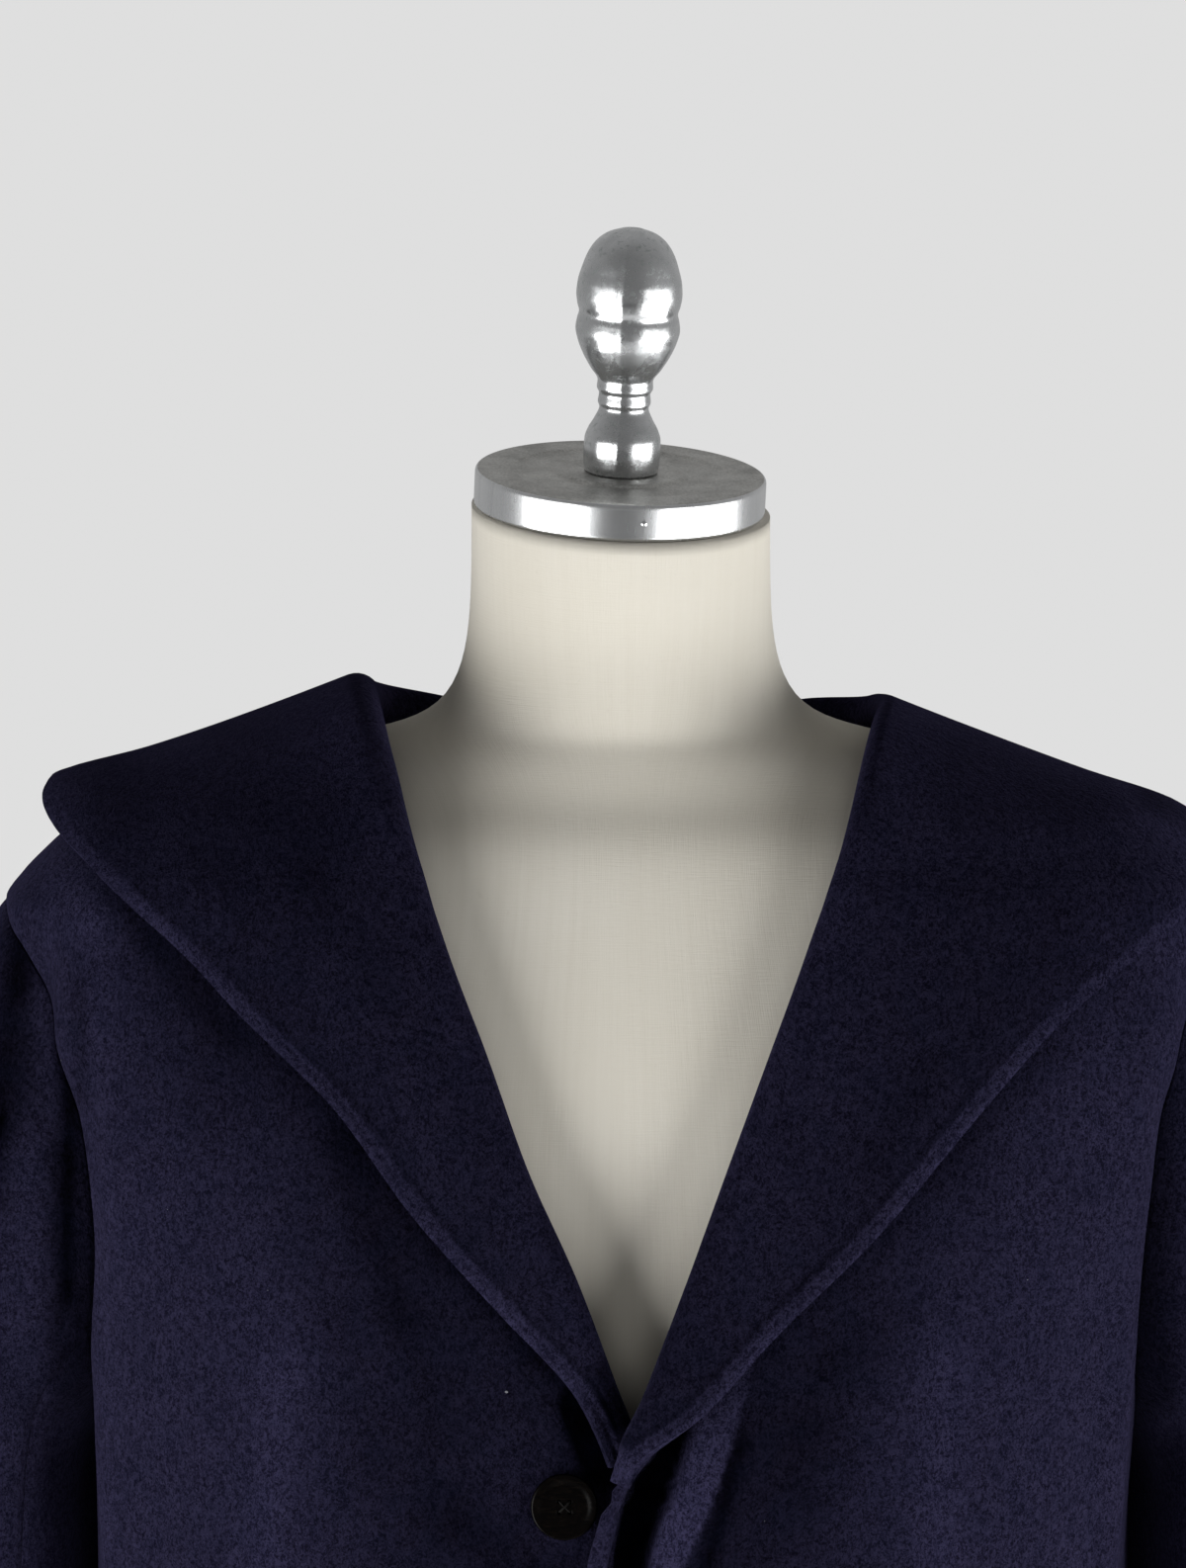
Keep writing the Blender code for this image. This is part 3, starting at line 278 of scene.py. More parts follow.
# Turned profiles: radius and height above the part's own foot.
Turned = namedtuple("Turned", "radius height")
KNOB = (
    Turned(0.0156, 0.0000),
    Turned(0.0162, 0.0030),
    Turned(0.0164, 0.0080),
    Turned(0.0162, 0.0140),
    Turned(0.0150, 0.0178),
    Turned(0.0123, 0.0228),
    Turned(0.0105, 0.0275),
    Turned(0.0113, 0.0300),
    Turned(0.0109, 0.0335),
    Turned(0.0120, 0.0362),
    Turned(0.0118, 0.0390),
    Turned(0.0153, 0.0448),
    Turned(0.0186, 0.0505),
    Turned(0.0211, 0.0565),
    Turned(0.0222, 0.0615),
    Turned(0.0217, 0.0655),
    Turned(0.0210, 0.0685),
    Turned(0.0219, 0.0720),
    Turned(0.0225, 0.0765),
    Turned(0.0221, 0.0815),
    Turned(0.0207, 0.0870),
    Turned(0.0186, 0.0930),
    Turned(0.0152, 0.0985),
    Turned(0.0105, 0.1022),
    Turned(0.0050, 0.1042),
)
CAP = (
    Turned(CAP_RADIUS - 0.0010, 0.0000),
    Turned(CAP_RADIUS - 0.0002, 0.0004),
    Turned(CAP_RADIUS, 0.0010),
    Turned(CAP_RADIUS, CAP_HEIGHT - 0.0014),
    Turned(CAP_RADIUS - 0.0004, CAP_HEIGHT - 0.0004),
    Turned(CAP_RADIUS - 0.0014, CAP_HEIGHT),
    Turned(0.0462, CAP_HEIGHT),
    Turned(0.0456, CAP_HEIGHT - 0.0003),
    Turned(0.0445, CAP_HEIGHT - 0.0008),
    Turned(0.0285, CAP_HEIGHT - 0.0008),
    Turned(0.0274, CAP_HEIGHT - 0.0001),
    Turned(0.0262, CAP_HEIGHT + 0.0004),
    Turned(0.0010, CAP_HEIGHT + 0.0004),
)
BUTTON = (
    Turned(0.0024, 0.0004),
    Turned(0.0024, 0.0020),
    Turned(BUTTON_RADIUS - 0.0035, 0.0022),
    Turned(BUTTON_RADIUS - 0.0006, 0.0034),
    Turned(BUTTON_RADIUS, 0.0046),
    Turned(BUTTON_RADIUS - 0.0006, 0.0020 + BUTTON_THICK),
    Turned(BUTTON_RADIUS - 0.0022, 0.0018 + BUTTON_THICK),
    Turned(BUTTON_RADIUS - 0.0050, 0.0010 + BUTTON_THICK),
    Turned(0.0010, 0.0008 + BUTTON_THICK),
)
HOLE_RADIUS = 0.0010
HOLE_PITCH = 0.0022
BUTTON_FACE = 0.0050  # height above which a stitch is clear of the dished face
# A stitch from one hole to the opposite one: how far out, as a share of the holes' pitch, and how high.
Stitch = namedtuple("Stitch", "out height")
STITCH = (
    Stitch(-1.00, 0.0034),
    Stitch(-0.95, 0.0049),
    Stitch(-0.60, 0.0054),
    Stitch(0.00, 0.0056),
    Stitch(0.60, 0.0054),
    Stitch(0.95, 0.0049),
    Stitch(1.00, 0.0034),
)
STITCH_OVERLAP = 0.0004
NAIL = (
    Turned(0.0013, -0.0006),
    Turned(0.0013, 0.0003),
    Turned(0.0009, 0.0008),
    Turned(0.0001, 0.0010),
)
NAIL_TURN = math.radians(9.1)  # how far round from the front the nail is
FORM_STEPS = 144
FORM_SMOOTHING = 14
CAP_STEPS = 144
KNOB_STEPS = 120
KNOB_SEAM_TURN = math.radians(97)
KNOB_SEAM_WIDTH = 0.09  # half of it, in radians
KNOB_SEAM_HEIGHT = 0.012  # as a share of the radius
BASE = (
    Turned(BASE_RADIUS - 0.004, 0.000),
    Turned(BASE_RADIUS, 0.004),
    Turned(BASE_RADIUS, 0.012),
    Turned(BASE_RADIUS - 0.006, 0.0165),
    Turned(0.120, 0.0205),
    Turned(0.060, 0.0245),
    Turned(0.032, 0.0300),
    Turned(0.024, BASE_TOP_Z),
)

# A panel's rows are numbered: 0 at the hem, 12 at the armpit or the foot of the lapel, 24 at the shoulder.
SKIRT_ROWS = 12
TOP_ROW = 24
ARMHOLE_STEP = 15  # degrees of the armhole for each row
ROLL_STATIONS = (0, 0.05, 0.12, 0.22, 0.33, 0.45, 0.57, 0.69, 0.79, 0.88, 0.95, 0.98, 1)
NECK_STATIONS = (2, 1.86, 1.72, 1.58, 1.44, 1.30, 1.16, 1.06, 1)
COLUMN_TURN_ROW = 15
COLUMN_TURN_Z = 0.90
COLLAR_LEAD = 0.145  # share of the fall that sets the direction of the roll
SLEEVE_SEAMS = (120, 255)
CLOSE_ROWS = (10.4, 13)  # rows beside the foot of the lapel, where the grid is closest
ROW_STEP = 0.14
CLOSE_ROW_STEP = 0.09
# Places of the grid beside an edge.
BORDER = np.array([0, 1.2, 2.4, 3.6, 4.6, 5.4, 6.2, 7.4, 9.4, 12.0]) / 1000
CLOSE_WIDTH = 0.066  # how far from the closing edge the columns are closer together
CLOSE_COLUMNS = 72
PANEL_COLUMNS = 54
ROUGH_COLUMNS = 60  # columns that a row's length is measured over
FOLD_STEPS = 15
FALL_STEPS = 50
ROUGH_FALL_STEPS = 25  # steps that the width of the collar's fall is measured over
NARROW_FALL = 0.030  # width of the fall below which the grid beside its edge is squeezed
SLEEVE_TURN = 3  # degrees between the sleeve's columns
SLEEVE_STEP = 0.058
CUFF_ROW = 0.0745  # length down the arm between the last two rows of its table

# The relief of the cloth's edges and seams.
EDGE_LINE = 0.0050  # the seam line inside a turned edge
EDGE_SWELL = 0.00030
SEAM_SINK = 0.00055
SEAM_REACH = 0.0030
PANEL_ROUNDING = 0.0010
COLLAR_ROUNDING = 0.0015

# Where the left front crosses the right one: how far it stands out, and how much more at the lapels' foot.
LAP_HEIGHT = 0.0044
LAP_FOOT_HEIGHT = 0.0095
LAP_FOOT_Z = 1.118
LIP_SHARE = 0.62  # share of the hollow's depth that its lip climbs at once

# The sleeves hang in towards the body round this turn of the tube, between these heights.
TUCK = {+1: 0.0205, -1: 0.0135}
TUCK_TURN = 226
TUCK_WIDTH = 58
TUCK_TOP_Z = 1.128
TUCK_LOW_Z = 0.90

# --- Soft creases of the cloth ----------------------------------------------------------------------------
# A drape runs down the body through points (bearing, z), bearing 0 at the front and 180 behind, with a width
# in degrees and a height that is plus for a ridge and minus for a trough. It fades out towards both ends.
# Side 0 is both.
Drape = namedtuple("Drape", "side points width height")
DRAPES = (
    Drape(-1, ((70.5, 1.385), (71.5, 1.300), (72.0, 1.200), (70.0, 1.080), (68.0, 0.960)), 4.5, +0.0030),
    Drape(-1, ((76.5, 1.370), (77.0, 1.290), (77.5, 1.215), (77.5, 1.130)), 3.2, -0.0032),
    Drape(-1, ((82.5, 1.360), (83.0, 1.290), (83.0, 1.225)), 3.5, +0.0022),
    Drape(+1, ((69.5, 1.370), (70.0, 1.300), (69.0, 1.200), (66.5, 1.080), (65.0, 0.940)), 4.5, +0.0032),
    Drape(+1, ((75.0, 1.350), (75.5, 1.290), (75.0, 1.220), (73.0, 1.120)), 3.2, -0.0032),
    Drape(+1, ((74.5, 1.262), (75.5, 1.200), (76.0, 1.150), (77.0, 1.060), (79.0, 0.940)), 26.0, -0.0044),
    Drape(+1, ((77.0, 1.150), (78.0, 1.060), (79.0, 0.950), (80.0, 0.850)), 26.0, -0.0040),
    Drape(-1, ((47.0, 1.240), (47.5, 1.160), (46.0, 1.070), (44.0, 0.900), (42.0, 0.640)), 14.0, +0.0055),
    Drape(-1, ((27.0, 1.200), (28.0, 1.120), (27.0, 1.040), (25.0, 0.880), (24.0, 0.700)), 13.0, -0.0060),
    Drape(+1, ((44.0, 1.240), (41.0, 1.150), (39.0, 1.060), (40.0, 0.880), (42.0, 0.620)), 14.0, +0.0058),
    Drape(+1, ((24.0, 1.165), (21.0, 1.110), (19.0, 1.040), (20.0, 0.900), (22.0, 0.740)), 9.0, -0.0055),
    Drape(-1, ((12.0, 0.980), (11.0, 0.800), (13.0, 0.560)), 9.0, +0.0040),
    Drape(+1, ((58.0, 1.020), (60.0, 0.860), (57.0, 0.600)), 8.0, -0.0042),
    Drape(-1, ((60.0, 1.000), (61.0, 0.840), (64.0, 0.520)), 7.0, -0.0038),
    Drape(0, ((104.0, 1.340), (106.0, 1.240), (108.0, 1.120), (110.0, 0.980)), 6.0, +0.0034),
    Drape(+1, ((113.0, 1.320), (115.0, 1.220), (118.0, 1.060), (117.0, 0.900)), 5.5, -0.0036),
    Drape(-1, ((114.0, 1.290), (117.0, 1.180), (119.0, 1.040), (121.0, 0.860)), 6.5, -0.0034),
    Drape(+1, ((138.0, 1.180), (140.0, 1.060), (137.0, 0.860), (139.0, 0.560)), 10.0, +0.0050),
    Drape(-1, ((142.0, 1.150), (139.0, 1.020), (141.0, 0.800), (138.0, 0.520)), 11.0, +0.0046),
    Drape(+1, ((158.0, 1.100), (160.0, 0.940), (157.0, 0.700)), 8.0, -0.0044),
    Drape(-1, ((160.0, 1.060), (158.0, 0.900), (161.0, 0.620)), 9.0, -0.0048),
    Drape(0, ((170.0, 1.130), (171.0, 1.000), (169.0, 0.760)), 7.0, +0.0026),
)

# --- Painted light and shade on the cloth -----------------------------------------------------------------
# Painted light and shade: 0 where the cloth is painted dark, 1 where painted light, within these limits.
PAINTED_DARKEST = -1.6
PAINTED_LIGHTEST = 3.0
# The fronts are painted in shade up to one bearing and painted light from another.
ShadeBearing = namedtuple("ShadeBearing", "z dark light")
RIGHT_PAINTED_SHADE = (
    ShadeBearing(0.400, 6, 30),
    ShadeBearing(0.800, 14, 40),
    ShadeBearing(1.090, 26, 47),
    ShadeBearing(1.170, 29, 47),
    ShadeBearing(1.234, 33, 58),
    ShadeBearing(1.275, 40, 68),
    ShadeBearing(1.335, 50, 76),
    ShadeBearing(1.400, 60, 84),
)
LEFT_PAINTED_SHADE = (
    ShadeBearing(0.400, 8, 32),
    ShadeBearing(0.800, 16, 36),
    ShadeBearing(1.090, 23, 41),
    ShadeBearing(1.170, 30, 48),
    ShadeBearing(1.234, 36, 56),
    ShadeBearing(1.275, 44, 64),
    ShadeBearing(1.335, 54, 74),
    ShadeBearing(1.400, 60, 84),
)
PAINTED_SHADE_BEARINGS = {+1: LEFT_PAINTED_SHADE, -1: RIGHT_PAINTED_SHADE}

# The shade that the collar's edge casts on each front: a broad one, with its reach, and a close one.
Shade = namedtuple("Shade", "broad reach close")
EDGE_SHADE = {+1: Shade(0.12, 0.011, 0.12), -1: Shade(0.38, 0.017, 0.50)}
CLOSE_REACH = 0.0060

# Patches of painted light and shade, from (top_x, top_z) to (low_x, low_z), x out from the centre: lighter
# if the amount is plus. They fade out behind the y that the reach table gives for their kind of piece.
PaintedPatch = namedtuple("PaintedPatch", "top_x top_z low_x low_z width amount")
PAINTED_PATCHES = {
    ("collar", -1): (
        PaintedPatch(0.236, 1.384, 0.230, 1.367, 0.009, +1.40),
        PaintedPatch(0.232, 1.388, 0.181, 1.403, 0.007, +1.20),
        PaintedPatch(0.214, 1.373, 0.201, 1.377, 0.007, -0.50),
        PaintedPatch(0.194, 1.394, 0.101, 1.407, 0.017, +1.30),
        PaintedPatch(0.139, 1.415, 0.101, 1.423, 0.010, +0.90),
        PaintedPatch(0.119, 1.410, 0.100, 1.372, 0.015, +0.55),
        PaintedPatch(0.092, 1.380, 0.034, 1.231, 0.007, +0.85),
        PaintedPatch(0.130, 1.356, 0.077, 1.287, 0.009, -0.32),
        PaintedPatch(0.171, 1.364, 0.138, 1.327, 0.008, -0.15),
        PaintedPatch(0.093, 1.275, 0.052, 1.211, 0.015, +0.22),
        PaintedPatch(0.192, 1.365, 0.170, 1.337, 0.006, +0.25),
        PaintedPatch(0.060, 1.219, 0.028, 1.183, 0.009, -0.40),
        PaintedPatch(0.010, 1.159, 0.002, 1.137, 0.004, -1.10),
        PaintedPatch(0.012, 1.144, 0.005, 1.122, 0.003, -0.80),
    ),
    ("collar", +1): (
        PaintedPatch(0.108, 1.413, 0.112, 1.390, 0.016, +1.60),
        PaintedPatch(0.130, 1.408, 0.126, 1.379, 0.014, +0.90),
        PaintedPatch(0.097, 1.368, 0.043, 1.243, 0.007, +0.90),
        PaintedPatch(0.111, 1.353, 0.083, 1.275, 0.020, +0.35),
        PaintedPatch(0.211, 1.377, 0.240, 1.356, 0.009, +0.90),
        PaintedPatch(0.211, 1.387, 0.220, 1.373, 0.003, +1.60),
        PaintedPatch(0.220, 1.373, 0.242, 1.361, 0.003, +1.40),
        PaintedPatch(0.225, 1.381, 0.242, 1.373, 0.004, -1.80),
        PaintedPatch(0.154, 1.384, 0.170, 1.369, 0.010, +0.40),
        PaintedPatch(0.147, 1.371, 0.230, 1.354, 0.017, +0.75),
        PaintedPatch(0.149, 1.391, 0.198, 1.378, 0.012, +0.60),
        PaintedPatch(0.065, 1.175, 0.025, 1.126, 0.005, +0.90),
        PaintedPatch(0.185, 1.339, 0.122, 1.270, 0.010, -0.28),
        PaintedPatch(0.126, 1.282, 0.102, 1.243, 0.007, -0.35),
    ),
    ("front", -1): (
        PaintedPatch(0.187, 1.325, 0.170, 1.258, 0.018, -0.40),
        PaintedPatch(0.116, 1.248, 0.093, 1.180, 0.010, -0.70),
        PaintedPatch(0.091, 1.180, 0.071, 1.139, 0.014, -0.28),
        PaintedPatch(0.134, 1.212, 0.120, 1.171, 0.010, -0.30),
        PaintedPatch(0.083, 1.143, 0.094, 1.073, 0.022, -0.32),
        PaintedPatch(0.065, 1.094, 0.036, 1.070, 0.016, -0.90),
        PaintedPatch(0.226, 1.215, 0.235, 1.125, 0.004, +0.90),
        PaintedPatch(0.142, 1.156, 0.149, 1.066, 0.011, +0.95),
        PaintedPatch(0.217, 1.307, 0.218, 1.050, 0.007, +0.40),
        PaintedPatch(0.018, 1.142, 0.009, 1.119, 0.007, -3.00),
        PaintedPatch(0.228, 1.306, 0.226, 1.261, 0.004, -0.90),
        PaintedPatch(0.215, 1.345, 0.159, 1.287, 0.007, -0.60),
        PaintedPatch(0.053, 1.193, 0.036, 1.168, 0.006, -0.35),
        PaintedPatch(0.114, 1.180, 0.104, 1.118, 0.010, -0.35),
        PaintedPatch(0.238, 1.352, 0.223, 1.337, 0.012, +1.80),
        PaintedPatch(0.241, 1.348, 0.241, 1.318, 0.003, +0.50),
    ),
    ("front", +1): (
        PaintedPatch(0.112, 1.178, 0.082, 1.160, 0.011, -0.30),
        PaintedPatch(0.177, 1.286, 0.127, 1.236, 0.007, -0.35),
        PaintedPatch(0.070, 1.131, 0.047, 1.070, 0.018, -0.55),
        PaintedPatch(0.090, 1.156, 0.078, 1.111, 0.016, -0.30),
        PaintedPatch(0.049, 1.129, 0.034, 1.076, 0.005, -0.90),
        PaintedPatch(0.131, 1.160, 0.131, 1.080, 0.013, +0.75),
    ),
    ("sleeve", -1): (
        PaintedPatch(0.257, 1.336, 0.263, 1.247, 0.010, -1.40),
        PaintedPatch(0.253, 1.334, 0.254, 1.302, 0.007, -0.80),
        PaintedPatch(0.264, 1.247, 0.264, 1.217, 0.006, -1.20),
        PaintedPatch(0.246, 1.298, 0.238, 1.247, 0.005, +0.90),
        PaintedPatch(0.252, 1.238, 0.253, 1.131, 0.012, +0.50),
        PaintedPatch(0.257, 1.114, 0.256, 1.037, 0.011, +1.80),
        PaintedPatch(0.241, 1.108, 0.241, 1.037, 0.008, +3.00),
        PaintedPatch(0.232, 1.302, 0.234, 1.174, 0.004, -0.90),
    ),
    ("sleeve", +1): (
        PaintedPatch(0.238, 1.281, 0.241, 1.131, 0.007, +0.80),
        PaintedPatch(0.236, 1.112, 0.236, 1.037, 0.009, +3.20),
    ),
}
PATCH_REACH = {"front": 0.03, "collar": 0.08, "sleeve": 1.0}
PATCH_FADE = 0.03


# --- Curves and small maths -------------------------------------------------------------------------------
def smooth_curve(at, values, x):
    """A smooth curve through the points (at, values) that doesn't overshoot them, read at x."""
    at, values, x = (np.asarray(a, float) for a in (at, values, x))
    step = np.diff(at)
    slope = np.diff(values) / step
    gradient = np.concatenate([slope[:1], np.zeros(len(at) - 2), slope[-1:]])
    for k in range(1, len(at) - 1):
        if slope[k - 1] * slope[k] > 0:
            before, after = 2 * step[k] + step[k - 1], step[k] + 2 * step[k - 1]
            gradient[k] = (before + after) / (before / slope[k - 1] + after / slope[k])
    k = np.clip(np.searchsorted(at, x) - 1, 0, len(step) - 1)
    t = np.clip((x - at[k]) / step[k], 0, 1)
    rise = values[k] + (3 - 2 * t) * t * t * (values[k + 1] - values[k])
    bend = t * (1 - t) * ((1 - t) * gradient[k] - t * gradient[k + 1])
    return rise + bend * step[k]


def column(table, name, key, x):
    """Column name of a table, read smoothly at x of its key column."""
    return smooth_curve([getattr(r, key) for r in table], [getattr(r, name) for r in table], x)


def ease(x):
    """0 below 0, 1 above 1 and smooth between."""
    x = np.clip(x, 0, 1)
    return x * x * (3 - 2 * x)


def bump(x):
    """A round bump of height 1 that reaches 0 at x = -1 and 1."""
    return np.clip(1 - x * x, 0, None) ** 2


def unit(v):
    """Vectors at length 1."""
    return v / np.linalg.norm(v, axis=-1, keepdims=True)


def along(points):
    """Length from the first point to each of the others."""
    return np.concatenate([[0], np.cumsum(np.linalg.norm(np.diff(points, axis=0), axis=1))])


def steps_between(stops, spacing):
    """Values from the first stop to the last that take in every stop and are spacing apart or less."""
    pairs = zip(stops, stops[1:])
    values = [np.linspace(a, b, math.ceil(abs(b - a) / spacing), endpoint=False) for a, b in pairs]
    return np.concatenate(values + [stops[-1:]])


# --- Folds of the body, as heights above its plain surface ------------------------------------------------
def lap(side, x, z):
    """How far the left front stands out where it crosses the right one, most at the foot of the lapels."""
    if side < 0:
        return 0.0 * x
    near = ease((0.075 - x) / 0.070)
    foot = LAP_FOOT_HEIGHT * bump((z - LAP_FOOT_Z) / 0.055)
    return near * (LAP_HEIGHT * ease((1.22 - z) / 0.12) + foot)


def hollow(side, x, z):
    """The dip beside the left closing edge and the fold that runs down from the lapel beyond it."""
    if side < 0 or z < HOLLOW[0].z or z > HOLLOW[-1].z:
        return 0.0 * x
    start, foot, crest, depth, height = (column(HOLLOW, n, "z", z) for n in Hollow._fields[1:])
    dip = -depth * ease((x - start) / 0.0026)
    lip = LIP_SHARE * depth * ease((x - foot + 0.0015) / 0.0030)
    climb = ((1 - LIP_SHARE) * depth + height) * np.clip((x - foot) / (crest - foot), 0, 1)
    return dip + lip + climb - height * ease((x - crest) / 0.040)


def creases(side, x, z):
    """Height of the soft creases of a front."""
    height = 0.0 * x
    for c in CREASES:
        if c.side == side and c.low_z < z < c.top_z:
            share = (c.top_z - z) / (c.top_z - c.low_z)
            fade = ease(share / 0.25) * ease((1 - share) / 0.45)
            height = height + c.height * fade * bump((x - c.top_x - share * (c.low_x - c.top_x)) / c.width)
    return height


def flutes(bearing, z):
    """Height of the skirt's flutes."""
    height = 0.0 * bearing
    for f in FLUTES:
        if z < f.top_z:
            fade = ease((f.top_z - z) / (f.top_z - HEM_Z))
            height = height + f.height * fade * bump((bearing - f.bearing) / f.width)
    return height


def drapes(side, bearing, z):
    """Height of the drapes at one level."""
    height = 0.0 * bearing
    for d in DRAPES:
        levels = np.array([p[1] for p in d.points])[::-1]
        if d.side in (0, side) and levels[0] < z < levels[-1]:
            share = (z - levels[0]) / (levels[-1] - levels[0])
            centre = smooth_curve(levels, np.array([p[0] for p in d.points])[::-1], z)
            fade = ease(share / 0.35) * ease((1 - share) / 0.35)
            height = height + d.height * fade * bump((bearing - centre) / d.width)
    return height


def painted_patches(kind, side, points):
    """The painted light and shade that the patches add to a kind of piece."""
    x, z = side * points[..., 0], points[..., 2]
    total = 0.0 * x
    for s in PAINTED_PATCHES[kind, side]:
        across, down = s.low_x - s.top_x, s.low_z - s.top_z
        reached = (x - s.top_x) * across + (z - s.top_z) * down
        share = np.clip(reached / (across**2 + down**2), 0, 1)
        off = np.hypot(x - s.top_x - share * across, z - s.top_z - share * down)
        total = total + s.amount * np.exp(-((off / s.width) ** 2))
    return total * ease((PATCH_REACH[kind] - points[..., 1]) / PATCH_FADE)


# --- The body's surface as a chart of turn and height -----------------------------------------------------
CHART_Z = np.concatenate([np.arange(HEM_Z - 0.01, 1.0, 0.005), np.arange(1.0, 1.4441, 0.0025)])
TURN_STEP = 0.0025
CHART_TURN = np.arange(-40, 841) * TURN_STEP
QUARTER = 150  # points of a section from its centre to its side


def section(side, z, folded):
    """The coat's outer face at height z: x and y at every turn of the chart."""
    half_width, front, back, square = (column(BODY, n, "z", z) for n in Section._fields[1:])
    quarter = np.radians(90) * (1 - np.cos(np.linspace(0, math.pi, QUARTER))) / 2
    across = half_width * np.sin(quarter) ** (2 / square)
    deep = np.cos(quarter) ** (2 / square)
    x = np.concatenate([-across[:0:-1], across, across[-2::-1], -across[1:]])
    y = np.concatenate([-front * deep[:0:-1], -front * deep, back * deep[-2::-1], back * deep[1:]])
    outwards = unit(np.stack([np.gradient(y), -np.gradient(x)], 1))
    height = lap(side, x, z) * (y < 0)
    if folded:
        bearing = np.degrees(np.arctan2(x, -y))
        height = height + (hollow(side, x, z) + creases(side, x, z)) * (y < 0)
        height = height + flutes(bearing, z) + drapes(side, bearing, z)
    length = np.concatenate([[0], np.cumsum(np.hypot(np.diff(x), np.diff(y)))])
    x, y = x + outwards[:, 0] * height, y + outwards[:, 1] * height
    centre, edge, behind = (length[k * (QUARTER - 1)] for k in (1, 2, 3))
    front_turn, back_turn = (length - centre) / (edge - centre), 1 + (length - edge) / (behind - edge)
    turn = np.where(length < edge, front_turn, back_turn)
    return np.interp(CHART_TURN, turn, x), np.interp(CHART_TURN, turn, y)


def make_chart(side, folded):
    """The outer face's points and outward normals over the whole chart, heights by turns."""
    rows = [section(side, z, folded) for z in CHART_Z]
    x, y = (np.array(axis) for axis in zip(*rows))
    points = np.stack([side * x, y, 0 * x + CHART_Z[:, None]], 2)
    normals = side * np.cross(np.gradient(points, axis=1), np.gradient(points, CHART_Z, axis=0))
    return points, unit(normals)


def on_chart(chart, turn, z):
    """Points and outward normals at the given turns and heights."""
    turn, z = np.broadcast_arrays(np.asarray(turn, float), np.asarray(z, float))
    row = np.clip(np.interp(z, CHART_Z, np.arange(len(CHART_Z))), 0, len(CHART_Z) - 1.001)
    col = np.clip((turn - CHART_TURN[0]) / TURN_STEP, 0, len(CHART_TURN) - 1.001)
    r, c = row.astype(int), col.astype(int)
    down, across = (row - r)[..., None], (col - c)[..., None]
    points, normals = (
        (1 - down) * ((1 - across) * g[r, c] + across * g[r, c + 1])
        + down * ((1 - across) * g[r + 1, c] + across * g[r + 1, c + 1])
        for g in chart
    )
    return points, unit(normals)


def turn_at_x(side, z, x, back):
    """The turn at which the plain section at height z is x from the centre."""
    turns = np.linspace(1, 2.1, 221) if back else np.linspace(-0.1, 1, 221)
    at = side * on_chart(PLAIN[side], turns, z)[0][:, 0]
    return float(np.interp(-x, -at, turns) if back else np.interp(x, at, turns))


def turn_at_y(side, z, y):
    """The turn at which the plain section at height z is y behind the side line, in front if y is minus."""
    turns = np.linspace(0.2, 1.8, 321)
    return float(np.interp(y, on_chart(PLAIN[side], turns, z)[0][:, 1], turns))


PLAIN = {side: make_chart(side, False) for side in (+1, -1)}
FOLDED = {side: make_chart(side, True) for side in (+1, -1)}
RIDGE_Z = np.linspace(SHOULDER_TIP_Z, BODY[-1].z, 200)
RIDGE_X = column(BODY, "half_width", "z", RIDGE_Z)


def ridge(x):
    """Height of the shoulder's ridge at x."""
    return np.interp(-np.asarray(x, float), -RIDGE_X, RIDGE_Z)


def over_shoulder(side, x, drop):
    """Turn and height of the point at x whose height is drop below the ridge, in front if drop is minus."""
    z = float(ridge(x)) - abs(drop)
    return turn_at_x(side, z, x, drop > 0), z


# --- Edges that the panels and the collar share -----------------------------------------------------------
def collar_value(side, name, station):
    """A value of the collar's table at a station."""
    return column(COLLARS[side], name, "station", station)


def smooth_drop(side, name, station):
    """A drop of the collar's table read by its signed square root, which is even across the ridge."""
    drops = np.array([getattr(r, name) for r in COLLARS[side]])
    stations = [r.station for r in COLLARS[side]]
    root = smooth_curve(stations, np.sign(drops) * np.sqrt(np.abs(drops)), station)
    return float(np.sign(root) * root * root)


def roll_point(side, station, gap=0.0):
    """Turn and height of the roll line, moved out by a gap: sideways in front and more downwards behind."""
    down = gap * min(max(2 * (station - 1), 0), 1)
    x = float(collar_value(side, "roll_x", station)) + gap * (2 - station if station > 1 else 1)
    return over_shoulder(side, x, smooth_drop(side, "roll_drop", station) + down)


def armhole_point(side, degrees, gap=0.0):
    """Turn and height of the armhole's edge: 0 at the shoulder tip, 90 in front and 180 at the armpit."""
    angle = math.radians(degrees)
    middle, half = (SHOULDER_TIP_Z + ARMPIT_Z) / 2, (SHOULDER_TIP_Z - ARMPIT_Z) / 2 + gap
    depth = (ARMHOLE_FRONT if math.sin(angle) > 0 else ARMHOLE_BACK) + gap
    z = middle + half * math.cos(angle)
    return turn_at_y(side, z, -depth * math.sin(angle)), z


def seam_gap(side, z):
    """Half of a seam's gap as a part of a turn."""
    return SEAM / 2 / along(on_chart(PLAIN[side], np.linspace(0, 1, 41), z)[0])[-1]


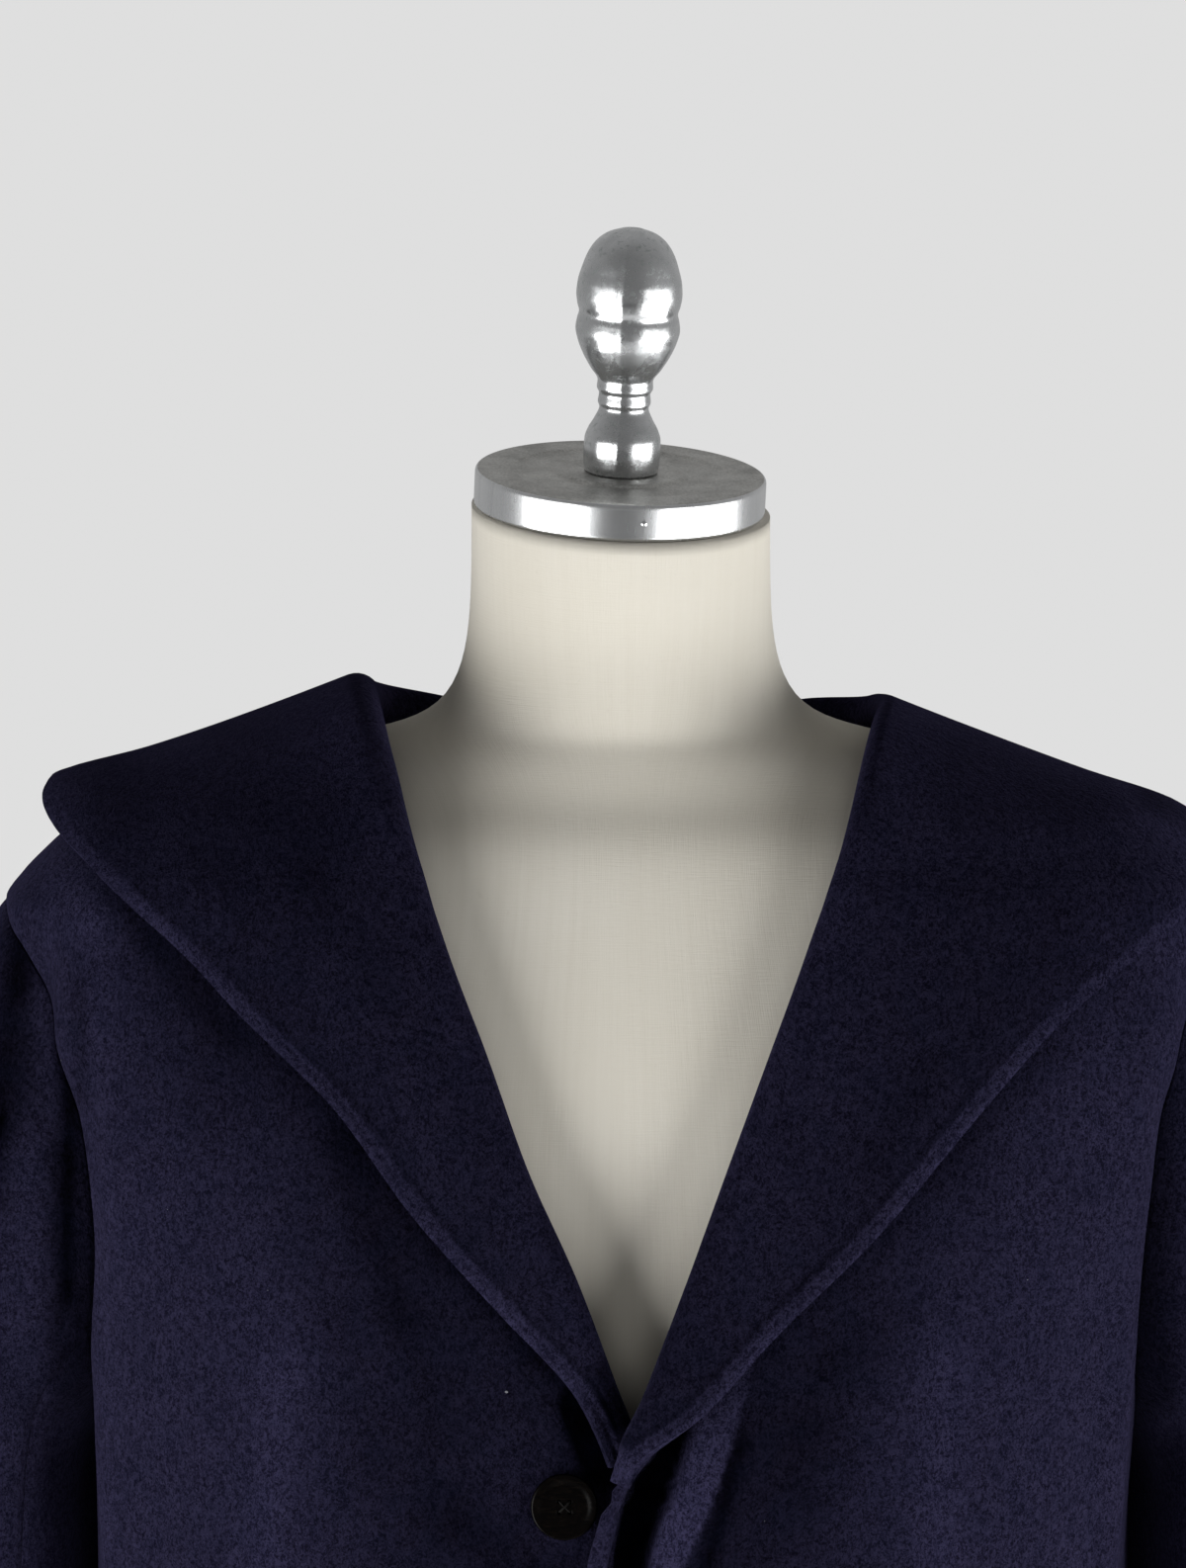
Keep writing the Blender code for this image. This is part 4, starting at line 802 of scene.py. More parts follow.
def inner_edge(side, back, row):
    """Turn and height of a panel's inner edge at a row."""
    _, top = roll_point(side, 1, CURVED_SEAM)
    if row >= TOP_ROW:
        return 1 + (1 if back else -1) * seam_gap(side, top), top
    if back:
        _, neck = roll_point(side, 2, CURVED_SEAM)
        neck_row = TOP_ROW - len(NECK_STATIONS) + 1
        if row > neck_row:
            station = np.interp(row - neck_row, range(len(NECK_STATIONS)), NECK_STATIONS)
            return roll_point(side, float(station), CURVED_SEAM)
        z = float(np.interp(row, [0, SKIRT_ROWS, neck_row], [HEM_Z, ARMPIT_Z, neck]))
        return 2 - BACK_SEAM_SHARE * seam_gap(side, z), z
    if row < SKIRT_ROWS:
        _, foot = roll_point(side, 0, CURVED_SEAM)
        z = HEM_Z + (foot - HEM_Z) * row / SKIRT_ROWS
        reach = column(CLOSING, "left" if side > 0 else "right", "z", z)
        return turn_at_x(side, z, -reach, False), z
    station = np.interp(row - SKIRT_ROWS, range(len(ROLL_STATIONS)), ROLL_STATIONS)
    return roll_point(side, float(station), CURVED_SEAM)


def outer_edge(side, back, row):
    """Turn and height of a panel's outer edge, along the side seam and the armhole, at a row."""
    sign = 1 if back else -1
    if row <= SKIRT_ROWS:
        z = HEM_Z + (ARMPIT_Z - SEAM - HEM_Z) * row / SKIRT_ROWS
        return 1 + sign * seam_gap(side, z), z
    if row >= TOP_ROW:
        z = SHOULDER_TIP_Z + SEAM
        return 1 + sign * seam_gap(side, z), z
    degrees = 180 - (row - SKIRT_ROWS) * ARMHOLE_STEP
    return armhole_point(side, -degrees if back else degrees, CURVED_SEAM)


# --- Meshes -----------------------------------------------------------------------------------------------
def linked(name, mesh):
    """A mesh as an object of the scene."""
    made = bpy.data.objects.new(name, mesh)
    bpy.context.scene.collection.objects.link(made)
    return made


def mesh_object(name, points, faces, finish):
    """A smooth closed mesh whose faces point outwards."""
    triangles = np.concatenate([faces[:, [0, 1, 2]], faces[:, [0, 2, 3]]])
    a, b, c = (points[triangles[:, k]] for k in range(3))
    if (a * np.cross(b, c)).sum() < 0:
        faces = faces[:, ::-1]
    mesh = bpy.data.meshes.new(name)
    mesh.from_pydata(points.tolist(), [], faces.tolist())
    mesh.materials.append(finish)
    mesh.shade_smooth()
    return linked(name, mesh)


def finished(thing):
    """The object with its modifiers worked into its mesh."""
    bpy.context.view_layer.update()
    graph = bpy.context.evaluated_depsgraph_get()
    settled = thing.evaluated_get(graph)
    mesh = bpy.data.meshes.new_from_object(settled, preserve_all_data_layers=True, depsgraph=graph)
    thing.modifiers.clear()
    thing.data = mesh
    return thing


def round_edges(thing, width):
    """Rounds the edges at which a mesh turns by more than 50 degrees."""
    bevel = thing.modifiers.new("rounding", "BEVEL")
    bevel.width = width
    bevel.segments = 3
    bevel.limit_method = "ANGLE"
    bevel.angle_limit = math.radians(50)
    bevel.use_clamp_overlap = True
    return finished(thing)


def set_value(thing, name, values):
    """A number at each point of a mesh, for its material."""
    attribute = thing.data.attributes.new(name, "FLOAT", "POINT")
    attribute.data.foreach_set("value", np.asarray(values, np.float32))


def cloth_wall(name, outer, inner, from_edge, nap_and_painted_light, finish, rounding):
    """A closed wall of cloth between two grids of points, rows by columns. from_edge is the distance from a
    turned edge at each grid point, and the next values are the painted light and shade there.
    """
    rows, columns = outer.shape[:2]
    count = rows * columns
    index = np.arange(count).reshape(rows, columns)
    quads = np.stack([index[:-1, :-1], index[:-1, 1:], index[1:, 1:], index[1:, :-1]], -1).reshape(-1, 4)
    rim = np.concatenate([index[0], index[1:, -1], index[-1, -2::-1], index[-2:0:-1, 0]])
    after = np.roll(rim, -1)
    sides = np.stack([after, rim, rim + count, after + count], -1)
    points = np.concatenate([outer.reshape(-1, 3), inner.reshape(-1, 3)])
    made = mesh_object(name, points, np.concatenate([quads, quads[:, ::-1] + count, sides]), finish)
    set_value(made, "from_edge", np.tile(np.minimum(from_edge, 0.05).reshape(-1), 2))
    # Painted light and shade on the outer face, none on the inner.
    set_value(made, "nap_and_painted_light", np.concatenate([nap_and_painted_light.reshape(-1), 0.0 * nap_and_painted_light.reshape(-1)]))
    return round_edges(made, rounding)


def lathe(name, profile, finish, steps, radii=None):
    """A closed mesh turned about the Z axis from rows of radius and height, mapped by turn and length.
    radii is a factor on the radius at each row and step.
    """
    angles = np.linspace(0, 2 * math.pi, steps, endpoint=False)
    radius, height = (np.array(v)[:, None] for v in zip(*profile))
    swell = 1.0 if radii is None else radii
    x, y = radius * np.cos(angles) * swell, radius * np.sin(angles) * swell
    rings = np.stack([x, y, height + 0 * x], -1)
    return ringed(name, rings, along(np.array(profile, float)), finish)


def ringed(name, rings, lengths, finish):
    """A closed mesh over rings of points, its two ends closed by a fan, with a UV map of turn and length."""
    count, steps = rings.shape[:2]
    index = np.arange(count * steps).reshape(count, steps)
    after = np.roll(index, -1, 1)
    quads = np.stack([index[:-1], after[:-1], after[1:], index[1:]], -1).reshape(-1, 4)
    points = np.concatenate([rings.reshape(-1, 3), rings[0].mean(0)[None], rings[-1].mean(0)[None]])
    faces = quads.tolist()
    faces += [[after[0, s], index[0, s], count * steps] for s in range(steps)]
    faces += [[index[-1, s], after[-1, s], count * steps + 1] for s in range(steps)]
    mesh = bpy.data.meshes.new(name)
    mesh.from_pydata(points.tolist(), [], [[int(k) for k in f] for f in faces])
    mesh.materials.append(finish)
    uv = mesh.uv_layers.new(name="UVMap")
    lengths = np.append(lengths, [lengths[0], lengths[-1]])
    for polygon in mesh.polygons:
        corners = list(polygon.loop_indices)
        turns = [mesh.loops[k].vertex_index % steps for k in corners]
        wraps = max(turns) - min(turns) > steps // 2
        for k, turn in zip(corners, turns):
            vertex = mesh.loops[k].vertex_index
            row = vertex // steps if vertex < count * steps else count + vertex - count * steps
            u = (turn + steps if wraps and turn < steps // 2 else turn) / steps
            uv.data[k].uv = (u, lengths[row])
    mesh.shade_smooth()
    return linked(name, mesh)


def place(thing, matrix):
    """Moves a finished mesh, so that its object stays at the origin."""
    thing.data.transform(matrix)
    return thing


def register(thing, slot, *nodes):
    """Hangs a piece on the root body and hides the solids that it stands for; the slot is not used."""
    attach(thing, "root")
    if nodes:
        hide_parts(*nodes)
    return thing


# --- Finishes ---------------------------------------------------------------------------------------------
class Value:
    """An output of a node. Arithmetic on it adds Math nodes."""

    def __init__(self, finish, socket):
        self.finish = finish
        self.socket = socket

    def math(self, operation, *terms, clamp=False):
        settings = {"operation": operation, "use_clamp": clamp}
        return self.finish.node("ShaderNodeMath", settings, dict(enumerate(terms)))

    def __add__(self, other):
        return self.math("ADD", self, other)

    __radd__ = __add__

    def __sub__(self, other):
        return self.math("SUBTRACT", self, other)

    def __rsub__(self, other):
        return self.math("SUBTRACT", other, self)

    def __mul__(self, other):
        return self.math("MULTIPLY", self, other)

    __rmul__ = __mul__

    def __truediv__(self, other):
        return self.math("DIVIDE", self, other)

    def clamped(self):
        return self.math("ADD", self, 0.0, clamp=True)

    def between(self, low, high):
        """0 at low, 1 at high, and straight between."""
        return ((self - low) / (high - low)).clamped()


class Finish:
    """A material under construction."""

    def __init__(self, name):
        self.material = bpy.data.materials.new(name)
        self.material.use_nodes = True
        self.tree = self.material.node_tree
        self.tree.nodes.clear()

    def node(self, kind, settings=None, sockets=None, output=0):
        """Adds a node: its settings first, then its sockets' values or links. Gives one of its outputs."""
        made = self.tree.nodes.new(kind)
        for name, value in (settings or {}).items():
            setattr(made, name, value)
        for key, value in (sockets or {}).items():
            if isinstance(value, Value):
                self.tree.links.new(value.socket, made.inputs[key])
            else:
                made.inputs[key].default_value = value
        return Value(self, made.outputs[output]) if len(made.outputs) else made

    def place(self):
        """Where a point is on the object."""
        return self.node("ShaderNodeTexCoord", output="Object")

    def attribute(self, name, output="Fac"):
        """What the piece's own attribute says."""
        return self.node("ShaderNodeAttribute", {"attribute_name": name}, output=output)

    def mapped(self, vector, scale, turn=(0, 0, 0)):
        """A place scaled and turned, so that a pattern on it is squeezed and turned."""
        return self.node("ShaderNodeMapping", None, {"Vector": vector, "Scale": scale, "Rotation": turn})

    def noise(self, vector, scale, detail=2.0, roughness=0.5, distortion=0.0):
        """Cloudy values about 0.5."""
        sockets = {"Vector": vector, "Scale": scale, "Detail": detail}
        sockets.update({"Roughness": roughness, "Distortion": distortion})
        return self.node("ShaderNodeTexNoise", None, sockets)

    def mix(self, factor, a, b):
        """Two colours mixed."""
        a, b = (v if isinstance(v, Value) else (*v, 1) for v in (a, b))
        return self.node("ShaderNodeMix", {"data_type": "RGBA"}, {0: factor, 6: a, 7: b}, output=2)

    def line(self, distance, place, half_width):
        """1 on a line at this place, and 0 beyond its half width."""
        return (1 - (distance - place).math("ABSOLUTE") / half_width).clamped()

    def relief(self, height, distance, under=None):
        """A bump of this height map, in metres, over another one."""
        sockets = {"Height": height, "Distance": distance, "Strength": 1.0}
        if under is not None:
            sockets["Normal"] = under
        return self.node("ShaderNodeBump", None, sockets)

    def shade(self, **sockets):
        """The surface, from names of the Principled shader's sockets with _ for a space."""
        named = {}
        for name, value in sockets.items():
            name = " ".join(w if w == "IOR" else w.capitalize() for w in name.split("_"))
            named[name] = (*value, 1) if isinstance(value, tuple) and len(value) == 3 else value
        surface = self.node("ShaderNodeBsdfPrincipled", None, named)
        self.node("ShaderNodeOutputMaterial", None, {"Surface": surface})
        return self.material


def coat_wool():
    """Navy double-faced wool, short brushed pile: tufts, paler fibres, edge stitches, painted light and
    shade.
    """
    finish = Finish("navy_double_faced_wool")
    at = finish.place()
    from_edge = finish.attribute("from_edge")
    # The painted light and shade that each piece holds.
    nap_and_painted_light = finish.attribute("nap_and_painted_light")
    patches = finish.noise(at, 22, 3, 0.5)
    tufts = finish.noise(finish.mapped(at, (1, 1, 0.75)), 330, 2, 0.6, 0.5)
    curls = finish.noise(finish.mapped(at, (1, 1, 0.8)), 800, 2, 0.6, 1.0)
    fibres = finish.noise(finish.mapped(at, (1, 1, 0.7)), 1500, 1, 0.6, 1.4)
    grain = (tufts - 0.5) * 1.5 + (curls - 0.5) * 3.0 + (fibres - 0.5) * 2.6
    line = finish.line(from_edge, 0.0053, 0.0007)
    second = finish.line(from_edge, 0.0070, 0.0005)
    # Painted light and shade, with random patches and the darker stitch lines, sets how light the colour is.
    painted_light_and_tone = nap_and_painted_light + (patches - 0.5) * 0.8 - line * 0.7 - second * 0.5
    tone = (painted_light_and_tone * 0.222 + 0.341).clamped()
    dark = finish.mix(tone, (0.0001, 0.0001, 0.0002), (0.0068, 0.0060, 0.0150))
    light = finish.mix(tone, (0.0004, 0.0003, 0.0008), (0.0293, 0.0268, 0.0600))
    colour = finish.mix((grain + 0.5).clamped(), dark, light)
    tint = finish.noise(at, 70, 2, 0.5).between(0.40, 0.66)
    colour = finish.mix(tint * 0.14, colour, (0.0022, 0.0042, 0.0120))
    lint = finish.noise(at, 400, 0, 0.5, 0.0).between(0.933, 0.939)
    colour = finish.mix(lint * 0.7, colour, (0.20, 0.20, 0.22))
    surface = finish.relief(fibres * 0.4 + curls * 0.6, 0.00055)
    surface = finish.relief(tufts, 0.00090, under=surface)
    surface = finish.relief(1 - line * 0.8 - second * 0.5, 0.00050, under=surface)
    return finish.shade(
        base_color=colour,
        roughness=0.93 + 0.05 * patches,
        normal=surface,
        specular_IOR_level=0.0,
        sheen_weight=0.060,
        sheen_roughness=0.35,
        sheen_tint=(0.52, 0.48, 1.0),
    )


def form_canvas():
    """Cream canvas stretched over the form: a fine weave with slubs, a little soiled, seamed in front."""
    finish = Finish("cream_canvas")
    at = finish.place()
    thread = finish.attribute("thread", "Vector")
    around = finish.node("ShaderNodeSeparateXYZ", None, {"Vector": thread}, output="X")
    seam = finish.line(around, 0.0028, 0.0008)
    warp = finish.noise(finish.mapped(thread, (1, 0.05, 1)), 1500, 2, 0.5)
    weft = finish.noise(finish.mapped(thread, (0.05, 1, 1)), 1500, 2, 0.5)
    slubs = finish.noise(finish.mapped(thread, (1, 0.03, 1)), 260, 3, 0.6)
    soil = finish.noise(at, 11, 4, 0.55)
    specks = finish.noise(at, 330, 2, 0.6).between(0.66, 0.74)
    colour = finish.mix(soil.between(0.3, 0.75), (0.685, 0.655, 0.585), (0.640, 0.605, 0.525))
    threads = slubs.between(0.35, 0.75) + (warp + weft) * 0.3
    colour = finish.mix(threads * 0.22, colour, (0.58, 0.54, 0.46))
    colour = finish.mix(seam * 0.40 + specks * 0.08, colour, (0.42, 0.37, 0.31))
    weave = finish.relief(warp * 0.5 + weft * 0.5 + slubs * 0.4, 0.00016)
    weave = finish.relief(1 - seam, 0.0004, under=weave)
    return finish.shade(
        base_color=colour,
        roughness=0.88,
        normal=weave,
        specular_IOR_level=0.25,
        sheen_weight=0.05,
    )


def cast_aluminium():
    """Cast aluminium, polished by hand: fine pits, soft waves, short scratches and dull greenish stains."""
    finish = Finish("cast_aluminium")
    at = finish.place()
    waves = finish.noise(at, 110, 2, 0.5)
    pits = finish.noise(at, 1500, 3, 0.6)
    scratches = finish.noise(finish.mapped(at, (1, 1, 0.06)), 1700, 2, 0.5)
    dull = finish.noise(at, 70, 4, 0.6).between(0.35, 0.8)
    stains = finish.noise(at, 420, 3, 0.7).between(0.54, 0.66)
    colour = finish.mix(dull, (0.74, 0.75, 0.76), (0.52, 0.53, 0.54))
    colour = finish.mix(stains * 0.45, colour, (0.26, 0.31, 0.29))
    surface = finish.relief(pits * 0.4 + scratches * 0.3, 0.00003)
    surface = finish.relief(waves, 0.0003, under=surface)
    rough = 0.20 + 0.14 * dull + 0.12 * stains
    return finish.shade(base_color=colour, metallic=1.0, roughness=rough, normal=surface)


def spun_aluminium():
    """The neck cap's metal: its band has many fine strokes across it, and its top is dull and rubbed."""
    finish = Finish("spun_aluminium")
    uv = finish.node("ShaderNodeUVMap", {"uv_map": "UVMap"})
    at = finish.place()
    strokes = finish.noise(finish.mapped(uv, (170, 26, 1)), 1, 3, 0.65)
    broad = finish.noise(finish.mapped(uv, (46, 9, 1)), 1, 2, 0.5)
    rings = finish.noise(finish.mapped(uv, (1.5, 2600, 1)), 1, 2, 0.5)
    patches = finish.noise(at, 60, 4, 0.6)
    specks = finish.noise(at, 900, 2, 0.6)
    band = finish.attribute("band")
    top = 1 - band
    wear_and_edge_highlight = (patches * 0.4 + strokes * 0.4 + broad * 0.3).between(0.3, 0.8)
    colour = finish.mix(wear_and_edge_highlight, (0.86, 0.87, 0.88), (0.60, 0.61, 0.62))
    rubbed = (patches * 0.7 + specks * 0.7).between(0.50, 0.90)
    dull = finish.mix(rubbed, (0.60, 0.595, 0.57), (0.30, 0.295, 0.28))
    colour = finish.mix(top, colour, dull)
    surface = finish.relief(strokes * band * 0.7 + rings * top * 0.6, 0.00003)
    rough = 0.21 + 0.10 * wear_and_edge_highlight + 0.14 * top
    return finish.shade(base_color=colour, metallic=1.0, roughness=rough, normal=surface)


def button_horn():
    """Near-black horn look: faint streaks in a polished surface with hairline scratches."""
    finish = Finish("button_horn")
    at = finish.place()
    streaks = finish.noise(finish.mapped(at, (1, 1, 4), (0.4, 0.3, 0.2)), 160, 3, 0.6, 1.5)
    scratches = finish.noise(finish.mapped(at, (0.15, 1, 1), (0, 0.7, 0)), 2600, 2, 0.5)
    colour = finish.mix(streaks.between(0.45, 0.8), (0.0009, 0.0007, 0.0007), (0.0034, 0.0024, 0.0018))
    surface = finish.relief(scratches, 0.000006)
    rough = 0.12 + 0.08 * streaks
    return finish.shade(base_color=colour, roughness=rough, normal=surface, specular_IOR_level=0.06)


def dark_thread():
    """Waxed black thread, twisted."""
    finish = Finish("dark_thread")
    at = finish.place()
    twist = finish.noise(at, 5200, 2, 0.6)
    colour = finish.mix(twist, (0.0008, 0.0007, 0.0007), (0.0050, 0.0044, 0.0042))
    surface = finish.relief(twist, 0.00004)
    return finish.shade(base_color=colour, roughness=0.75, normal=surface, specular_IOR_level=0.10)


def drawn_steel():
    """The pole's steel: fine lines drawn down it and faint marks."""
    finish = Finish("drawn_steel")
    at = finish.place()
    lines = finish.noise(finish.mapped(at, (1, 1, 0.02)), 1500, 2, 0.6)
    marks = finish.noise(at, 35, 4, 0.6)
    colour = finish.mix(marks.between(0.3, 0.8), (0.52, 0.53, 0.54), (0.38, 0.385, 0.39))
    rough = 0.22 + 0.2 * marks
    surface = finish.relief(lines, 0.00003)
    return finish.shade(base_color=colour, metallic=1.0, roughness=rough, normal=surface)


def painted_iron():
    """The base's black paint, slightly pebbled and dusty."""
    finish = Finish("painted_iron")
    at = finish.place()
    peel = finish.noise(at, 420, 3, 0.55)
    dust = finish.noise(at, 16, 5, 0.6)
    colour = finish.mix(dust.between(0.45, 0.8), (0.024, 0.024, 0.026), (0.060, 0.059, 0.057))
    surface = finish.relief(peel, 0.00025)
    return finish.shade(base_color=colour, roughness=0.38 + 0.3 * dust, normal=surface, coat_weight=0.15)


# --- The coat's pieces ------------------------------------------------------------------------------------
def edge_relief(distance):
    """The swelling of a turned edge and the seam line inside it, at a distance from the edge."""
    swell = EDGE_SWELL * bump((distance - 0.0022) / 0.0028)
    return swell - SEAM_SINK * bump((distance - EDGE_LINE) / 0.0020)


def seam_relief(distance):
    """How the cloth sinks towards a plain seam."""
    return -SEAM_SINK * np.exp(-((distance / SEAM_REACH) ** 2))


def panel_rows():
    """Rows of a panel from the hem to the shoulder, closer together at the hem and by the lapel's foot."""
    low, high = CLOSE_ROWS
    hem = BORDER / ((ARMPIT_Z - HEM_Z) / SKIRT_ROWS)
    skirt = steps_between(np.array([hem[-1], low]), ROW_STEP)
    beside = steps_between(np.array([low, high]), CLOSE_ROW_STEP)
    above = steps_between(np.array([high, float(TOP_ROW)]), ROW_STEP)
    return np.concatenate([hem[:-1], skirt[:-1], beside[:-1], above])


def panel_shares(length):
    """Places of the columns along a row of this length, closer together at its ends, most at the first."""
    edge = BORDER / length
    first = min(CLOSE_WIDTH / length, 0.45)
    close = np.linspace(edge[-1], first, CLOSE_COLUMNS, endpoint=False)
    middle = np.linspace(first, 1 - edge[-1], PANEL_COLUMNS)
    return np.concatenate([edge[:-1], close, middle, 1 - edge[-2::-1]])


def collar_edge_line(side):
    """The collar's outer edge over the front, as points of x and height."""
    stations = np.linspace(0, 1, 120)
    across = collar_value(side, "edge_x", stations)
    drops = [smooth_drop(side, "edge_drop", s) for s in stations]
    turns, heights = np.array([over_shoulder(side, float(x), d) for x, d in zip(across, drops)]).T
    points, _ = on_chart(PLAIN[side], turns, heights)
    return points


def front_painted_light(side, points):
    """Painted light and shade on a front: shadow under the collar's edge and in the hollow by the closing.
    """
    x, z = side * points[..., 0], points[..., 2]
    bearing = np.degrees(np.arctan2(x, -points[..., 1]))
    dark, light = (column(PAINTED_SHADE_BEARINGS[side], name, "z", z) for name in ("dark", "light"))
    nap_and_painted_light = ease((bearing - dark) / (light - dark))
    edge = collar_edge_line(side)
    away = np.min(np.linalg.norm(points[..., None, :] - edge, axis=-1), axis=-1)
    shade = EDGE_SHADE[side]
    nap_and_painted_light = nap_and_painted_light - shade.broad * np.exp(-((away / shade.reach) ** 2))
    nap_and_painted_light = nap_and_painted_light - shade.close * np.exp(-((away / CLOSE_REACH) ** 2))
    if side > 0:
        level = np.clip(z, HOLLOW[0].z, HOLLOW[-1].z)
        start, foot, crest, depth = (column(HOLLOW, n, "z", level) for n in Hollow._fields[1:5])
        deep = np.clip(depth / 0.018, 0, 1)
        # Painted: light on the closing strip, black shade in the hollow, a highlight on its lip, dim shade
        # beyond it.
        strip = ease((start + 0.0010 - x) / 0.0015)
        black = ease((x - start) / 0.0020) * ease((foot + 0.0016 - x) / 0.0026)
        band = ease((x - foot + 0.0008) / 0.0026) * ease((crest + 0.0010 - x) / 0.0022)
        beyond = ease((x - crest - 0.0004) / 0.0010) * ease((crest + 0.026 - x) / 0.024)
        nap_and_painted_light = nap_and_painted_light + 1.6 * (ease(deep / 0.30) - deep) * band
        nap_and_painted_light = nap_and_painted_light + deep * (0.9 * strip - 3.0 * black + 3.2 * band - 0.30 * beyond)
    else:
        # Painted shade on the right front under the left front's edge.
        shade_under_left_front = bump((x + 0.004) / 0.020) * bump((z - 1.135) / 0.045)
        nap_and_painted_light = nap_and_painted_light - 1.2 * shade_under_left_front
    return np.clip(nap_and_painted_light + painted_patches("front", side, points), PAINTED_DARKEST, PAINTED_LIGHTEST)


def back_nap(side, points):
    """How light the nap lies on a back: broad soft changes."""
    x, z = side * points[..., 0], points[..., 2]
    bearing = np.degrees(np.arctan2(x, -points[..., 1]))
    sway = 6 * np.sin(9 * z + side)
    across = 0.25 * np.sin(np.radians(bearing + sway) * 7) * ease((1.25 - z) / 0.3)
    return 0.55 + across + 0.1 * np.sin(7 * z)


def body_panel(name, side, back, finish):
    """A front or back, as rows that run from its inner edge out to the side seam, armhole and shoulder."""
    rows = panel_rows()
    inner_line = np.array([inner_edge(side, back, r) for r in rows])
    outer_line = np.array([outer_edge(side, back, r) for r in rows])
    inner_turn, outer_turn = inner_line[:, :1], outer_line[:, :1]
    turn_in, turn_in_z = outer_edge(side, back, COLUMN_TURN_ROW)
    early = 1 + (turn_in - 1) * ease((outer_line[:, 1] - COLUMN_TURN_Z) / (turn_in_z - COLUMN_TURN_Z))
    heading = np.where(rows < COLUMN_TURN_ROW, early, outer_line[:, 0])[:, None]

    def surface(shares):
        """The panel's points, normals and heights at these shares of each row."""
        turns = inner_turn + shares * (heading - inner_turn) + shares**6 * (outer_turn - heading)
        heights = inner_line[:, 1:] + shares * (outer_line[:, 1:] - inner_line[:, 1:])
        return *on_chart(FOLDED[side], turns, heights), heights

    rough, _, _ = surface(np.tile(np.linspace(0, 1, ROUGH_COLUMNS), (len(rows), 1)))
    lengths = np.linalg.norm(np.diff(rough, axis=1), axis=2).sum(1)
    points, normals, heights = surface(np.array([panel_shares(n) for n in lengths]))
    run = np.array([along(p) for p in points])
    from_seam = run[:, -1:] - run
    from_hem = heights - HEM_Z
    open_edge = np.where((rows < SKIRT_ROWS)[:, None] & (not back), np.minimum(run, from_hem), from_hem)
    height = edge_relief(open_edge) + seam_relief(from_seam)
    if back:
        height = height + seam_relief(run)
    from_shoulder = np.linalg.norm(points - points[-1:], axis=2)
    height = height + seam_relief(from_shoulder) * (rows > TOP_ROW - 1)[:, None]
    outer = points + height[..., None] * normals
    inner = points - (CLOTH - 0.3 * height[..., None]) * normals
    # Painted light and shade for the cloth's colour.
    nap_and_painted_light = back_nap(side, points) if back else front_painted_light(side, points)
    return cloth_wall(name, outer, inner, open_edge, nap_and_painted_light, finish, PANEL_ROUNDING)


def collar_section(side, station):
    """One section of the collar from the neck seam round the roll to the outer edge: its middle surface, the
    directions across its thickness, the thickness, and the distance from the outer edge at each point.
    """
    roll_x, edge_x = (float(collar_value(side, n, station)) for n in ("roll_x", "edge_x"))
    drops = [smooth_drop(side, n, station) for n in ("roll_drop", "edge_drop")]
    roll_q, edge_q = (math.copysign(math.sqrt(abs(d)), d) for d in drops)
    lift, edge_lift = (float(collar_value(side, n, station)) for n in ("lift", "edge_lift"))

    def fall_base(share):
        """The coat's surface under the collar, from the roll (share 0) to the edge (1)."""
        where = []
        for s in share:
            q = roll_q + s * (edge_q - roll_q)
            where.append(over_shoulder(side, roll_x + s * (edge_x - roll_x), q * abs(q)))
        turns, heights = np.array(where).T
        return on_chart(PLAIN[side], turns, heights)

    rough_share = np.linspace(0, 1, ROUGH_FALL_STEPS)
    run = along(fall_base(rough_share)[0])
    border = BORDER * min(1, run[-1] / NARROW_FALL)
    middle = np.linspace(0, run[-1] - border[-1], FALL_STEPS)
    wanted = np.concatenate([middle, run[-1] - border[-2::-1]])
    share = np.interp(wanted, run, rough_share)
    base, normals = fall_base(share)
    foot, normal = base[0], normals[0]
    out = fall_base([COLLAR_LEAD])[0][0] - foot
    out = unit(out - normal * (out @ normal))
    radius = lift / 2
    bend = np.linspace(-math.pi / 2, math.pi / 2, FOLD_STEPS)[:, None]
    spoke = -np.cos(bend) * out + np.sin(bend) * normal
    fold = foot + (radius - CLOTH / 2) * normal + radius * spoke
    height = (lift - CLOTH / 2) + (edge_lift - lift + CLOTH / 2) * share[1:] ** 3
    fall = base[1:] + height[:, None] * normals[1:]
    thick = CLOTH + (COLLAR_CLOTH - CLOTH) * ease(np.linspace(0, 1, FOLD_STEPS))
    thick = np.concatenate([thick, np.full(len(fall), COLLAR_CLOTH)])
    from_edge = np.concatenate([np.full(FOLD_STEPS, run[-1]), run[-1] - wanted[1:]])
    return np.concatenate([fold, fall]), np.concatenate([spoke, normals[1:]]), thick, from_edge


def collar_stations():
    """Stations from the foot of the lapel to the centre back, close together at both ends."""
    coarse = ROLL_STATIONS + NECK_STATIONS[-2::-1]
    places = steps_between(np.array([0.0, 2.0, 13.0, 19.5, 20.0]), 0.125)
    return np.interp(places, range(len(coarse)), coarse)


